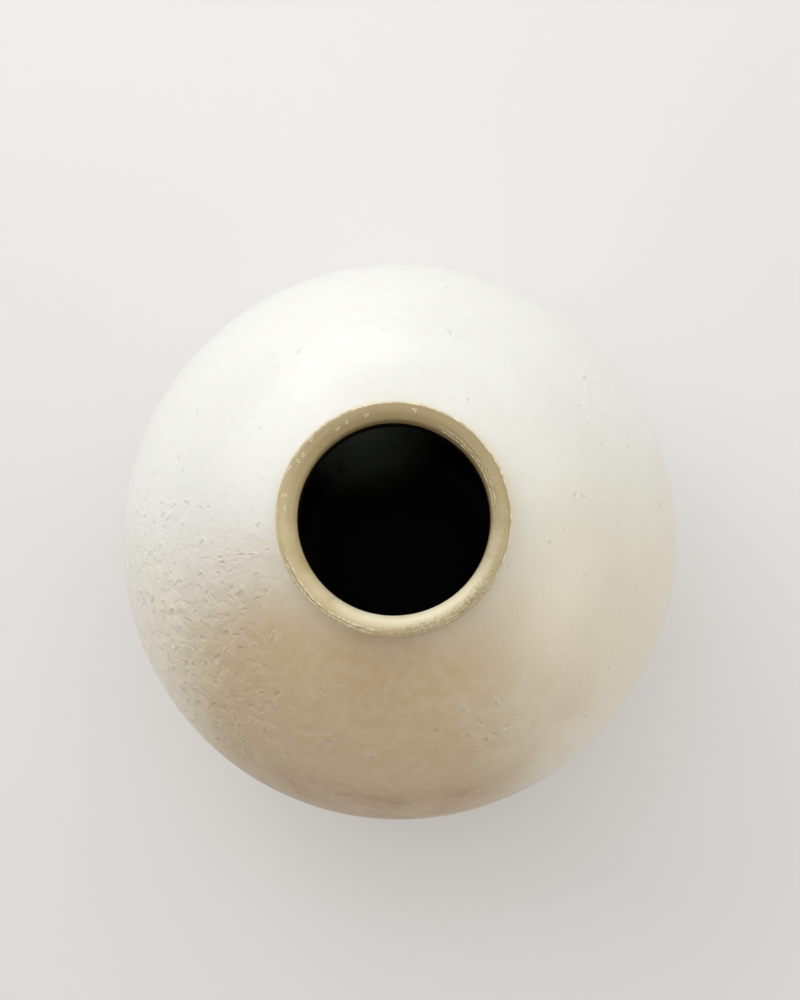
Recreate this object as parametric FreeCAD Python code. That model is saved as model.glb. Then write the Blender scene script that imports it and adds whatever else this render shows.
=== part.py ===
import FreeCAD, Part
import math
import os

# A round white jar, thrown as two bowls and luted together rim to rim.
# The origin is the middle of the foot's standing face, and +Z is the jar's own axis.
# Every piece is a profile of lines and arcs, drawn as (radius, height) and turned about that axis.

# Driving dimensions in millimetres, counted from the standing face
jar_height = 288.0
belly_radius = 150.0
belly_height = 142.0
mouth_radius = 43.0
mouth_relief = 1.2
collar_wall = 7.0
collar_height = 5.5
lip_overhang = 2.5
foot_radius = 55.0
foot_height = 10.0

# Walls
wall = 7.0
rim_swell = 1.5
base_thickness = 10.0
foot_wall = 10.0

# Lower bowl: a round belly that would turn level this far above the foot, but for the straighter flank
belly_lift = 5.8
flank_bend_radius = 207.2
floor_fillet = 22.0
well_rise = 2.0

# Foot ring
foot_outer_bevel = 1.5
foot_inner_bevel = 1.2
foot_inner_slant = 1.2

# Clay coil pressed over the seam inside
coil_height = 18.0
coil_depth = 4.5

# Luting slip: a bed between two keyed faces, with a fillet wiped round the foot and the neck
slip = 0.8
foot_fillet = 3.0
neck_fillet = 3.0

# Keys: the width of a tongue at its root, its width at the tip, and its rise
seam_key_root = 4.0
seam_key_tip = 2.4
seam_key_rise = 2.4
foot_key_root = 4.6
foot_key_tip = 3.0
foot_key_rise = 1.6
collar_key_root = 3.0
collar_key_tip = 2.0
collar_key_rise = 1.4

full_turn = 360


class Bend:
    """A round stretch of a profile, known by its centre and its radius."""

    def __init__(self, centre, radius):
        self.centre = centre
        self.radius = radius

    def inset(self, depth):
        """The same bend, drawn nearer to its centre."""
        return Bend(self.centre, self.radius - depth)

    def at(self, angle):
        """The point at this angle, which is counted upwards from level."""
        across = self.radius * math.cos(angle)
        up = self.radius * math.sin(angle)
        return (self.centre[0] + across, self.centre[1] + up)

    def angle_at_radius(self, radius):
        """The angle of the upper of the two points that lie this far from the jar's axis."""
        return math.acos((radius - self.centre[0]) / self.radius)

    def angle_towards(self, place):
        """The angle at which a place is seen from the bend's centre."""
        return math.atan2(place[1] - self.centre[1], place[0] - self.centre[0])

    def edge(self, start_angle, end_angle):
        """The stretch between two angles, as an edge."""
        middle_angle = (start_angle + end_angle) / 2
        ends = [point(self.at(angle)) for angle in (start_angle, middle_angle, end_angle)]
        return Part.Arc(*ends).toShape()


def point(place):
    """A point of a profile, which is drawn in the plane of X and Z."""
    radius, height = place
    return FreeCAD.Vector(radius, 0, height)


def chain(*places):
    """Straight edges from each place to the next."""
    pairs = zip(places, places[1:])
    return [Part.LineSegment(point(start), point(end)).toShape() for start, end in pairs]


def turned(edges):
    """The solid that a closed profile sweeps in a full turn about the jar's axis."""
    profile = Part.Face(Part.Wire(edges))
    axis = FreeCAD.Vector(0, 0, 1)
    return profile.revolve(FreeCAD.Vector(0, 0, 0), axis, full_turn)


def bend_through(start, outward, end):
    """The bend that passes through both places and runs square to the outward direction at the start."""
    step = (start[0] - end[0], start[1] - end[1])
    reach = step[0] * outward[0] + step[1] * outward[1]
    radius = (step[0] ** 2 + step[1] ** 2) / (2 * reach)
    centre = (start[0] - radius * outward[0], start[1] - radius * outward[1])
    return Bend(centre, radius)


def bend_onward(bend, radius, end):
    """The wider bend that leaves another one smoothly and ends at a place, after the angle where it leaves."""
    offset = radius - bend.radius
    reach = math.dist(bend.centre, end)
    corner = math.acos((reach ** 2 + offset ** 2 - radius ** 2) / (2 * reach * offset))
    leaving_angle = bend.angle_towards(end) + math.pi - corner
    return leaving_angle, Bend(bend.inset(radius).at(leaving_angle), radius)


class Key:
    """A bevelled tongue round a seam, known by its mid radius, its two widths and its rise."""

    def __init__(self, middle, root, tip, rise):
        self.middle = middle
        self.root = root
        self.tip = tip
        self.rise = rise

    def face(self, inner, outer, height):
        """The places along a keyed face at this height, from its inner edge to its outer one."""
        return [
            (inner, height),
            (self.middle - self.root / 2, height),
            (self.middle - self.tip / 2, height + self.rise),
            (self.middle + self.tip / 2, height + self.rise),
            (self.middle + self.root / 2, height),
            (outer, height),
        ]


# Heights of the faces that the slip lies between
foot_seat = foot_height + slip
seam_below = belly_height - slip / 2
seam_above = belly_height + slip / 2

# Radii of the walls at the seams
foot_bore = foot_radius - foot_wall
seam_bore = belly_radius - wall - rim_swell
shoulder_opening = mouth_radius + mouth_relief
collar_radius = mouth_radius + collar_wall

# Each key runs along the middle of the wall that carries it
foot_key = Key((foot_radius + foot_bore) / 2, foot_key_root, foot_key_tip, foot_key_rise)
seam_key = Key((belly_radius + seam_bore) / 2, seam_key_root, seam_key_tip, seam_key_rise)
collar_key = Key((collar_radius + mouth_radius) / 2, collar_key_root, collar_key_tip, collar_key_rise)

# The lip is a round bead that spans the collar's wall and its own overhang
bead_radius = (collar_wall + lip_overhang) / 2
bead = Bend((mouth_radius + bead_radius, jar_height - bead_radius), bead_radius)
bead_seat_angle = -bead.angle_at_radius(collar_radius)
lip_seat = bead.at(bead_seat_angle)[1]
collar_top = lip_seat - slip
collar_foot = collar_top - collar_height
neck_height = collar_foot - slip

# Outer bends of the two bowls
shoulder_bend = bend_through((belly_radius, seam_above), (1, 0), (collar_radius + neck_fillet, neck_height))
belly_bend_radius = seam_below - foot_seat - belly_lift
belly_bend = Bend((belly_radius - belly_bend_radius, seam_below), belly_bend_radius)
flank_end = (foot_radius + foot_fillet, foot_seat)
flank_angle, flank_bend = bend_onward(belly_bend, flank_bend_radius, flank_end)


def foot_ring():
    """The ring that the jar stands on, bevelled at both edges of its standing face."""
    top = foot_key.face(foot_bore, foot_radius, foot_height)
    standing_inner = foot_bore + foot_inner_slant + foot_inner_bevel
    standing_outer = foot_radius - foot_outer_bevel
    sides = [
        (foot_radius, foot_outer_bevel),
        (standing_outer, 0),
        (standing_inner, 0),
        (foot_bore + foot_inner_slant, foot_inner_bevel),
    ]
    return turned(chain(*top, *sides, top[0]))


def foot_slip():
    """The slip under the base, wiped into a fillet round the ring's outside."""
    below = foot_key.face(foot_bore, foot_radius, foot_height)
    above = foot_key.face(foot_bore, foot_radius + foot_fillet, foot_seat)
    fillet = Bend((foot_radius + foot_fillet, foot_seat - foot_fillet), foot_fillet)
    edges = chain(fillet.at(math.pi), *below[::-1], *above)
    edges.append(fillet.edge(math.pi / 2, math.pi))
    return turned(edges)


def lower_bowl():
    """The bowl that stands on the foot: a thick flat floor, a straight flank and a round belly."""
    inner_belly = belly_bend.inset(wall)
    inner_flank = flank_bend.inset(wall)
    floor_height = foot_seat + base_thickness

    # The fillet touches the floor below its centre, and the inner flank on a line through both centres
    fillet_height = floor_height + floor_fillet
    drop = inner_flank.centre[1] - fillet_height
    reach = inner_flank.radius - floor_fillet
    fillet_angle = -math.asin(drop / reach)
    fillet = Bend((inner_flank.inset(floor_fillet).at(fillet_angle)[0], fillet_height), floor_fillet)

    # The rim stands straight up inside, as wide as the seam needs
    rim_angle = -inner_belly.angle_at_radius(seam_bore)
    rim = seam_key.face(seam_bore, belly_radius, seam_below)
    seat = foot_key.face(foot_bore, foot_radius + foot_fillet, foot_seat)
    foot_angle = flank_bend.angle_towards(flank_end)

    well_top = (0, foot_seat + well_rise)
    well = bend_through(well_top, (0, 1), (foot_bore, foot_seat))
    well_angle = well.angle_at_radius(foot_bore)

    edges = chain(inner_belly.at(rim_angle), *rim)
    edges.append(belly_bend.edge(0, flank_angle))
    edges.append(flank_bend.edge(flank_angle, foot_angle))
    edges += chain(*seat[::-1])
    edges.append(well.edge(well_angle, math.pi / 2))
    edges += chain(well_top, (0, floor_height), fillet.at(-math.pi / 2))
    edges.append(fillet.edge(-math.pi / 2, fillet_angle))
    edges.append(inner_flank.edge(fillet_angle, flank_angle))
    edges.append(inner_belly.edge(flank_angle, rim_angle))
    return turned(edges)


def belly_slip():
    """The slip in the seam where the two bowls meet."""
    below = seam_key.face(seam_bore, belly_radius, seam_below)
    above = seam_key.face(seam_bore, belly_radius, seam_above)
    return turned(chain(*below, *above[::-1], below[0]))


def belly_coil():
    """The coil that strengthens the seam inside, pressed flat against the two rims."""
    half_height = coil_height / 2
    bottom = (seam_bore, belly_height - half_height)
    top = (seam_bore, belly_height + half_height)
    crest = (seam_bore - coil_depth, belly_height)
    edges = chain(bottom, top)
    edges.append(Part.Arc(point(top), point(crest), point(bottom)).toShape())
    return turned(edges)


def upper_bowl():
    """The bowl turned upside down on the first: a full shoulder, open for the neck."""
    inner_shoulder = shoulder_bend.inset(wall)
    rim = seam_key.face(seam_bore, belly_radius, seam_above)
    land = collar_key.face(shoulder_opening, collar_radius + neck_fillet, neck_height)
    land_angle = shoulder_bend.angle_at_radius(collar_radius + neck_fillet)
    rim_angle = inner_shoulder.angle_at_radius(seam_bore)
    opening_angle = inner_shoulder.angle_at_radius(shoulder_opening)

    edges = [shoulder_bend.edge(0, land_angle)]
    edges += chain(*land[::-1], inner_shoulder.at(opening_angle))
    edges.append(inner_shoulder.edge(opening_angle, rim_angle))
    edges += chain(inner_shoulder.at(rim_angle), *rim)
    return turned(edges)


def neck_slip():
    """The slip under the collar, wiped into a fillet round its outside."""
    below = collar_key.face(shoulder_opening, collar_radius + neck_fillet, neck_height)
    above = collar_key.face(shoulder_opening, collar_radius, collar_foot)
    fillet = Bend((collar_radius + neck_fillet, neck_height + neck_fillet), neck_fillet)
    edges = chain(fillet.at(math.pi), *above[::-1], *below)
    edges.append(fillet.edge(-math.pi / 2, -math.pi))
    return turned(edges)


def neck_collar():
    """The short upright collar on the shoulder."""
    below = collar_key.face(mouth_radius, collar_radius, collar_foot)
    above = collar_key.face(mouth_radius, collar_radius, collar_top)
    return turned(chain(*below, *above[::-1], below[0]))


def lip_slip():
    """The slip between the collar and the lip."""
    below = collar_key.face(mouth_radius, collar_radius, collar_top)
    above = collar_key.face(mouth_radius, collar_radius, lip_seat)
    return turned(chain(*below, *above[::-1], below[0]))


def mouth_lip():
    """The rolled lip: a round bead that stands out over the collar and falls straight into the mouth."""
    seat = collar_key.face(mouth_radius, collar_radius, lip_seat)
    edges = chain(bead.at(math.pi), *seat)
    edges.append(bead.edge(bead_seat_angle, math.pi))
    return turned(edges)


PIECES = {
    "foot_ring": foot_ring,
    "foot_slip": foot_slip,
    "lower_bowl": lower_bowl,
    "belly_slip": belly_slip,
    "belly_coil": belly_coil,
    "upper_bowl": upper_bowl,
    "neck_slip": neck_slip,
    "neck_collar": neck_collar,
    "lip_slip": lip_slip,
    "mouth_lip": mouth_lip,
}


def main():
    """Write each piece to a STEP file of its own."""
    os.makedirs("parts", exist_ok=True)
    for name, make_piece in PIECES.items():
        shape = make_piece()
        shape.exportStep(f"parts/{name}.step")
        print(f"{name}: {shape.Volume:.0f} cubic millimetres, valid {shape.isValid()}")


main()
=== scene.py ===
import logging
import math
from dataclasses import dataclass, field
from enum import Enum
from typing import Any, Sequence

import bmesh
import bpy
import numpy as np
from mathutils import Matrix, Vector, noise
from mathutils.kdtree import KDTree


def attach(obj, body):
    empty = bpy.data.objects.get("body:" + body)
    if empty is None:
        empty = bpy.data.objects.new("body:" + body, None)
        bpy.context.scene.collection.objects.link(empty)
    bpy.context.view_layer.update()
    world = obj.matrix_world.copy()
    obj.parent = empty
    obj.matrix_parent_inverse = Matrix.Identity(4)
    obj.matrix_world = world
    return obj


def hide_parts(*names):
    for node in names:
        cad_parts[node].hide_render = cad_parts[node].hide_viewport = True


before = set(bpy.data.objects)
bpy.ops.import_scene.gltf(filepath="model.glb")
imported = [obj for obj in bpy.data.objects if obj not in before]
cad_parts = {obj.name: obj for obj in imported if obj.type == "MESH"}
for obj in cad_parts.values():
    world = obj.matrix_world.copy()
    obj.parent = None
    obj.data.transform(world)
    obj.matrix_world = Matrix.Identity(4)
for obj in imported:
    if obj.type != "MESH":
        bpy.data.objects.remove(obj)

# A round white moon jar: two thrown bowls, luted belly to belly, with a tan lip and a bare foot.
# Sizes are in metres, +Z is the jar's axis, and -Y is the side away from the window lamp, which the kiln
# blushed and where warm shade is painted into the glaze too.

MM = 0.001
FULL_TURN = 2 * math.pi
QUARTER_TURN = math.pi / 2
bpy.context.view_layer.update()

Place = tuple[float, float]
Corner = tuple[float, float, float]
Colour = tuple[float, float, float, float]

log = logging.getLogger("moon_jar")


def glaze_colour(*chart: int) -> Colour:
    """A shader's colour, in linear light with an alpha of one, from red, green and blue up to 255."""
    share = np.array(chart) / 255
    return (*np.where(share <= 0.04045, share / 12.92, ((share + 0.055) / 1.055) ** 2.4).tolist(), 1.0)


def smooth_step(value: np.ndarray, low: float, high: float) -> np.ndarray:
    """A soft step from zero where the value is low to one where it is high."""
    share = np.clip((value - low) / (high - low), 0, 1)
    return share * share * (3 - 2 * share)


# Profiles


@dataclass(frozen=True)
class Bend:
    """A round stretch of a profile, known by its centre and its radius."""

    across: float
    height: float
    radius: float

    def inset(self, depth: float) -> "Bend":
        """The same bend, drawn nearer to its centre."""
        return Bend(self.across, self.height, self.radius - depth)

    def at(self, angle: float) -> Place:
        """The place at this angle, which is counted upwards from level."""
        return (self.across + self.radius * math.cos(angle), self.height + self.radius * math.sin(angle))

    def angle_at(self, across: float) -> float:
        """The angle of the upper of the two places this far from the jar's axis."""
        return math.acos((across - self.across) / self.radius)

    def angle_towards(self, place: Place) -> float:
        """The angle at which a place is seen from the centre."""
        return math.atan2(place[1] - self.height, place[0] - self.across)

    def run(self, start: float, end: float, step: float) -> list[Place]:
        """Even places along the bend from one angle to another, about a step apart."""
        count = max(2, round(abs(end - start) * self.radius / step) + 1)
        return [self.at(angle) for angle in np.linspace(start, end, count)]

    def through(self, end: Place, outward: float) -> "Bend":
        """The bend that leaves this one smoothly and ends at a place.

        Args:
            end: Where the new bend ends.
            outward: The angle at which it leaves this bend.

        Returns:
            The new bend.
        """
        start = self.at(outward)
        step = (start[0] - end[0], start[1] - end[1])
        reach = step[0] * math.cos(outward) + step[1] * math.sin(outward)
        radius = (step[0] ** 2 + step[1] ** 2) / (2 * reach)
        return Bend(start[0] - radius * math.cos(outward), start[1] - radius * math.sin(outward), radius)

    def onward(self, radius: float, end: Place, way: int = 1) -> tuple[float, "Bend"]:
        """The wider bend of a given radius that leaves this one smoothly and ends at a place.

        Args:
            radius: The new bend's radius.
            end: Where the new bend ends.
            way: One if the place lies clockwise from there, minus one if it lies the other way.

        Returns:
            The angle at which it leaves this bend, and the new bend.
        """
        offset = radius - self.radius
        reach = math.dist((self.across, self.height), end)
        corner = math.acos((reach ** 2 + offset ** 2 - radius ** 2) / (2 * reach * offset))
        leaving = self.angle_towards(end) + way * (math.pi - corner)
        centre = self.inset(radius).at(leaving)
        return leaving, Bend(centre[0], centre[1], radius)


def straight(start: Place, end: Place, step: float) -> list[Place]:
    """Even places along a straight run, about a step apart."""
    count = max(2, round(math.dist(start, end) / step) + 1)
    return [(float(across), float(height)) for across, height in np.linspace(start, end, count)]


@dataclass(frozen=True)
class Key:
    """A bevelled tongue round a seam: its middle, its widths at root and tip, and its rise."""

    middle: float
    root: float
    tip: float
    rise: float

    def face(self, inner: float, outer: float, height: float) -> list[Place]:
        """The places along a keyed face.

        Args:
            inner: Its inner radius.
            outer: Its outer radius.
            height: How high it lies.

        Returns:
            The places, from the inner radius to the outer one.
        """
        steps = ((-self.root, 0), (-self.tip, self.rise), (self.tip, self.rise), (self.root, 0))
        bevel = [(self.middle + side / 2, height + up) for side, up in steps]
        return [(inner, height), *bevel, (outer, height)]


class JarForm:
    """The jar's driving sizes, then the sizes and bends that follow from them."""

    height: float = 288 * MM
    belly_radius: float = 150 * MM
    belly_height: float = 142 * MM
    mouth_radius: float = 43 * MM
    mouth_relief: float = 1.2 * MM
    collar_wall: float = 7 * MM
    collar_height: float = 5.5 * MM
    lip_overhang: float = 2.5 * MM
    lip_round: float = 3.8 * MM
    lip_slope_radius: float = 8.5 * MM
    lip_drop: float = 4.9 * MM
    foot_radius: float = 55 * MM
    foot_height: float = 10 * MM
    foot_wall: float = 10 * MM
    wall: float = 7 * MM
    rim_swell: float = 1.5 * MM
    base_thickness: float = 10 * MM
    belly_lift: float = 5.8 * MM
    flank_radius: float = 207.2 * MM
    floor_fillet: float = 22 * MM
    well_rise: float = 2 * MM
    foot_outer_bevel: float = 1.5 * MM
    foot_inner_bevel: float = 1.2 * MM
    foot_inner_slant: float = 1.2 * MM
    coil_height: float = 18 * MM
    coil_depth: float = 4.5 * MM
    slip: float = 0.8 * MM
    foot_fillet: float = 3 * MM
    neck_fillet: float = 3 * MM
    ring_depth: float = 0.035 * MM
    ring_pitch: float = 8.5 * MM
    seam_ridge: float = 0.3 * MM
    seam_ridge_width: float = 2.6 * MM
    least_slump: float = 0.3 * MM
    leaning_slump: float = 0.42 * MM
    swinging_slump: float = 0.1 * MM
    slump_fade: float = 34 * MM
    leaning_azimuth: float = math.radians(125)

    foot_bore = foot_radius - foot_wall
    foot_seat = foot_height + slip
    foot_key = Key((foot_radius + foot_bore) / 2, 4.6 * MM, 3 * MM, 1.6 * MM)

    seam_below = belly_height - slip / 2
    seam_above = belly_height + slip / 2
    seam_bore = belly_radius - wall - rim_swell
    seam_key = Key((belly_radius + seam_bore) / 2, 4 * MM, 2.4 * MM, 2.4 * MM)

    # The bead gives the lip its seat, and the rounder outside and the slope are what shows of it.
    collar_radius = mouth_radius + collar_wall
    collar_key = Key((collar_radius + mouth_radius) / 2, 3 * MM, 2 * MM, 1.4 * MM)
    bead_radius = (collar_wall + lip_overhang) / 2
    bead = Bend(mouth_radius + bead_radius, height - bead_radius, bead_radius)
    lip_seat = bead.at(-bead.angle_at(collar_radius))[1]
    lip_outside = Bend(collar_radius + lip_overhang - lip_round, height - lip_round, lip_round)
    lip_under = -lip_outside.angle_at(collar_radius)
    lip_end = (mouth_radius, height - lip_drop)
    lip_turn, lip_slope = lip_outside.onward(lip_slope_radius, lip_end, -1)
    lip_leaving = lip_turn + FULL_TURN
    lip_slope_end = lip_slope.angle_towards(lip_end)
    lip_slope_arc = lip_slope_radius * (lip_slope_end - lip_leaving)
    collar_top = lip_seat - slip
    collar_foot = collar_top - collar_height

    # The shoulder ends at a flat land under the collar.
    opening = mouth_radius + mouth_relief
    neck_height = collar_foot - slip
    land_edge = collar_radius + neck_fillet
    shoulder = Bend(belly_radius, seam_above, 0).through((land_edge, neck_height), 0)
    belly_bend = seam_below - foot_seat - belly_lift
    belly = Bend(belly_radius - belly_bend, seam_below, belly_bend)
    flank_end = (foot_radius + foot_fillet, foot_seat)
    flank_angle, flank = belly.onward(flank_radius, flank_end)

    def lip_place(self, arc: float) -> tuple[Bend, float]:
        """A place on the lip.

        Args:
            arc: Its distance from the mouth's edge, over the lip.

        Returns:
            The bend that it lies on, and its angle there.
        """
        if arc < self.lip_slope_arc:
            return self.lip_slope, self.lip_slope_end - arc / self.lip_slope_radius
        return self.lip_outside, self.lip_leaving - (arc - self.lip_slope_arc) / self.lip_round

    def slump(self, azimuth: np.ndarray, height: np.ndarray) -> np.ndarray:
        """How far the thrown wall stands inside its true bends, with a low ridge over the seam.

        Args:
            azimuth: Angles round the axis.
            height: Heights above the table.

        Returns:
            The depths, never below zero.
        """
        rise = smooth_step(height, self.foot_seat, self.foot_seat + self.slump_fade)
        fall = 1 - smooth_step(height, self.neck_height - self.slump_fade, self.neck_height)
        lean = 1 + np.cos(azimuth - self.leaning_azimuth)
        swing = 2 + np.sin(3 * azimuth + 9 * height / self.belly_height) + np.sin(2 * azimuth + 2.2)
        rings = 1 + np.sin(FULL_TURN * height / self.ring_pitch + azimuth)
        depth = self.least_slump + self.leaning_slump * lean + self.swinging_slump * swing
        ridge = np.exp(-((height - self.belly_height) / self.seam_ridge_width) ** 2)
        uneven = 0.75 + 0.15 * np.sin(7 * azimuth + 1) + 0.1 * np.sin(19 * azimuth)
        return rise * fall * (depth + self.ring_depth * rings - self.seam_ridge * ridge * uneven)


# Node trees


class Wire:
    """A value in a node tree, which adds Math nodes when Python does sums with it."""

    def __init__(self, bench: "Bench", socket: bpy.types.NodeSocket) -> None:
        """Wraps one socket of a bench's tree."""
        self.bench = bench
        self.socket = socket

    def output(self, name: str) -> "Wire":
        """Another output of the same node."""
        return Wire(self.bench, self.socket.node.outputs[name])

    def __add__(self, other: "Wire | float") -> "Wire":
        """This value plus another."""
        return self.bench.maths("ADD", self, other)

    def __sub__(self, other: "Wire | float") -> "Wire":
        """This value less another."""
        return self.bench.maths("SUBTRACT", self, other)

    def __rsub__(self, other: float) -> "Wire":
        """A number less this value."""
        return self.bench.maths("SUBTRACT", other, self)

    def __mul__(self, other: "Wire | float") -> "Wire":
        """This value times another."""
        return self.bench.maths("MULTIPLY", self, other)

    def __truediv__(self, other: float) -> "Wire":
        """This value divided by a number."""
        return self.bench.maths("DIVIDE", self, other)

    def __pow__(self, other: float) -> "Wire":
        """This value raised to a power."""
        return self.bench.maths("POWER", self, other)

    def __neg__(self) -> "Wire":
        """This value with its sign turned."""
        return self.bench.maths("MULTIPLY", self, -1)

    __radd__ = __add__
    __rmul__ = __mul__

    def clipped(self) -> "Wire":
        """This value kept between zero and one."""
        return self.bench.node("ShaderNodeClamp", {}, {"Value": self})

    def step(self, low: float, high: float) -> "Wire":
        """A soft step from zero at low to one at high, or from one down to zero where high is the lower."""
        ends = {1: low, 2: high} if low < high else {1: high, 2: low, 3: 1, 4: 0}
        return self.bench.node("ShaderNodeMapRange", {"interpolation_type": "SMOOTHSTEP"}, {0: self, **ends})


class Bench:
    """Adds and links the nodes of one tree."""

    def __init__(self, tree: bpy.types.NodeTree) -> None:
        """Starts on a tree with no nodes in it."""
        self.tree = tree
        self.tree.nodes.clear()

    def node(
        self,
        kind: str,
        settings: dict[str, Any] | None = None,
        inputs: dict[int | str, Any] | None = None,
        output: int | str = 0,
    ) -> Wire:
        """Adds a node.

        Args:
            kind: The node's type.
            settings: Its properties.
            inputs: A value or a wire for each socket, by name or by number.
            output: The output socket to go on from, by name or by number.

        Returns:
            That output, or the first input of a node without outputs.
        """
        made = self.tree.nodes.new(kind)
        for name, value in (settings or {}).items():
            setattr(made, name, value)
        for name, value in (inputs or {}).items():
            if isinstance(value, Wire):
                self.tree.links.new(value.socket, made.inputs[name])
            else:
                made.inputs[name].default_value = value
        return Wire(self, made.outputs[output] if made.outputs else made.inputs[0])

    def maths(self, operation: str, *values: "Wire | float") -> Wire:
        """The outcome of one Math node."""
        return self.node("ShaderNodeMath", {"operation": operation}, dict(enumerate(values)))

    def mix(self, below: "Wire | Colour", above: "Wire | Colour", share: "Wire | float") -> Wire:
        """One colour with a share of another laid over it."""
        return self.node("ShaderNodeMix", {"data_type": "RGBA"}, {0: share, 6: below, 7: above}, 2)


class Jacket(Bench):
    """A material's tree, with the jar's own coordinates at hand, and its colour and relief so far."""

    def __init__(self, name: str, ground: Colour) -> None:
        """Makes a material.

        Args:
            name: Its name.
            ground: The colour that the others are laid on.
        """
        self.material = bpy.data.materials.new(name)
        self.material.use_nodes = True
        super().__init__(self.material.node_tree)
        self.place = self.node("ShaderNodeTexCoord", output="Object")
        split = self.node("ShaderNodeSeparateXYZ", {}, {0: self.place})
        self.x, self.y, self.z = (split.output(axis) for axis in "XYZ")
        self.colour: Wire | Colour = ground
        self.relief: dict[str, Wire] = {}

    def attribute(self, name: str) -> Wire:
        """A number stored on the piece's points."""
        return self.node("ShaderNodeAttribute", {"attribute_name": name}, {}, "Fac")

    def from_axis(self) -> Wire:
        """The distance from the jar's axis."""
        return (self.x * self.x + self.y * self.y) ** 0.5

    def near(self, spot: Corner, reach: float) -> Wire:
        """A soft round patch: one in its middle, and zero from its reach on."""
        inputs = {0: self.place, 1: spot}
        return self.node("ShaderNodeVectorMath", {"operation": "DISTANCE"}, inputs, "Value").step(reach, 0)

    def noise(self, grain: float, detail: float = 2, swirl: float = 0) -> Wire:
        """Soft noise round a half, with spots of this size, finer layers over them and a swirl."""
        inputs = {"Vector": self.place, "Scale": 1 / grain, "Detail": detail, "Distortion": swirl}
        return self.node("ShaderNodeTexNoise", {}, inputs)

    def cells(self, grain: float) -> Wire:
        """The distance, in grains, to the nearest of many points that lie about a grain apart."""
        return self.node("ShaderNodeTexVoronoi", {}, {"Vector": self.place, "Scale": 1 / grain})

    def lay(self, colour: Colour, share: "Wire | float") -> None:
        """Lays a share of a colour over what is there."""
        self.colour = self.mix(self.colour, colour, share)

    def emboss(self, height: Wire, depth: float, strength: float = 1) -> None:
        """Adds relief to what is there, with a height from zero to one that stands for this depth."""
        inputs = {"Height": height, "Distance": depth, "Strength": strength, **self.relief}
        self.relief = {"Normal": self.node("ShaderNodeBump", {}, inputs)}

    def close(self, roughness: "Wire | float", **sockets: Any) -> bpy.types.Material:
        """Ends the tree in a Principled shader.

        Args:
            roughness: How rough the surface is.
            **sockets: The shader's other inputs, with underscores for the spaces in their names.

        Returns:
            The finished material.
        """
        inputs = {name.replace("_", " "): value for name, value in sockets.items()}
        inputs |= {"Base Color": self.colour, "Roughness": roughness, **self.relief}
        shader = self.node("ShaderNodeBsdfPrincipled", {}, inputs)
        self.node("ShaderNodeOutputMaterial", {}, {"Surface": shader})
        return self.material


# Finishes


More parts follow.
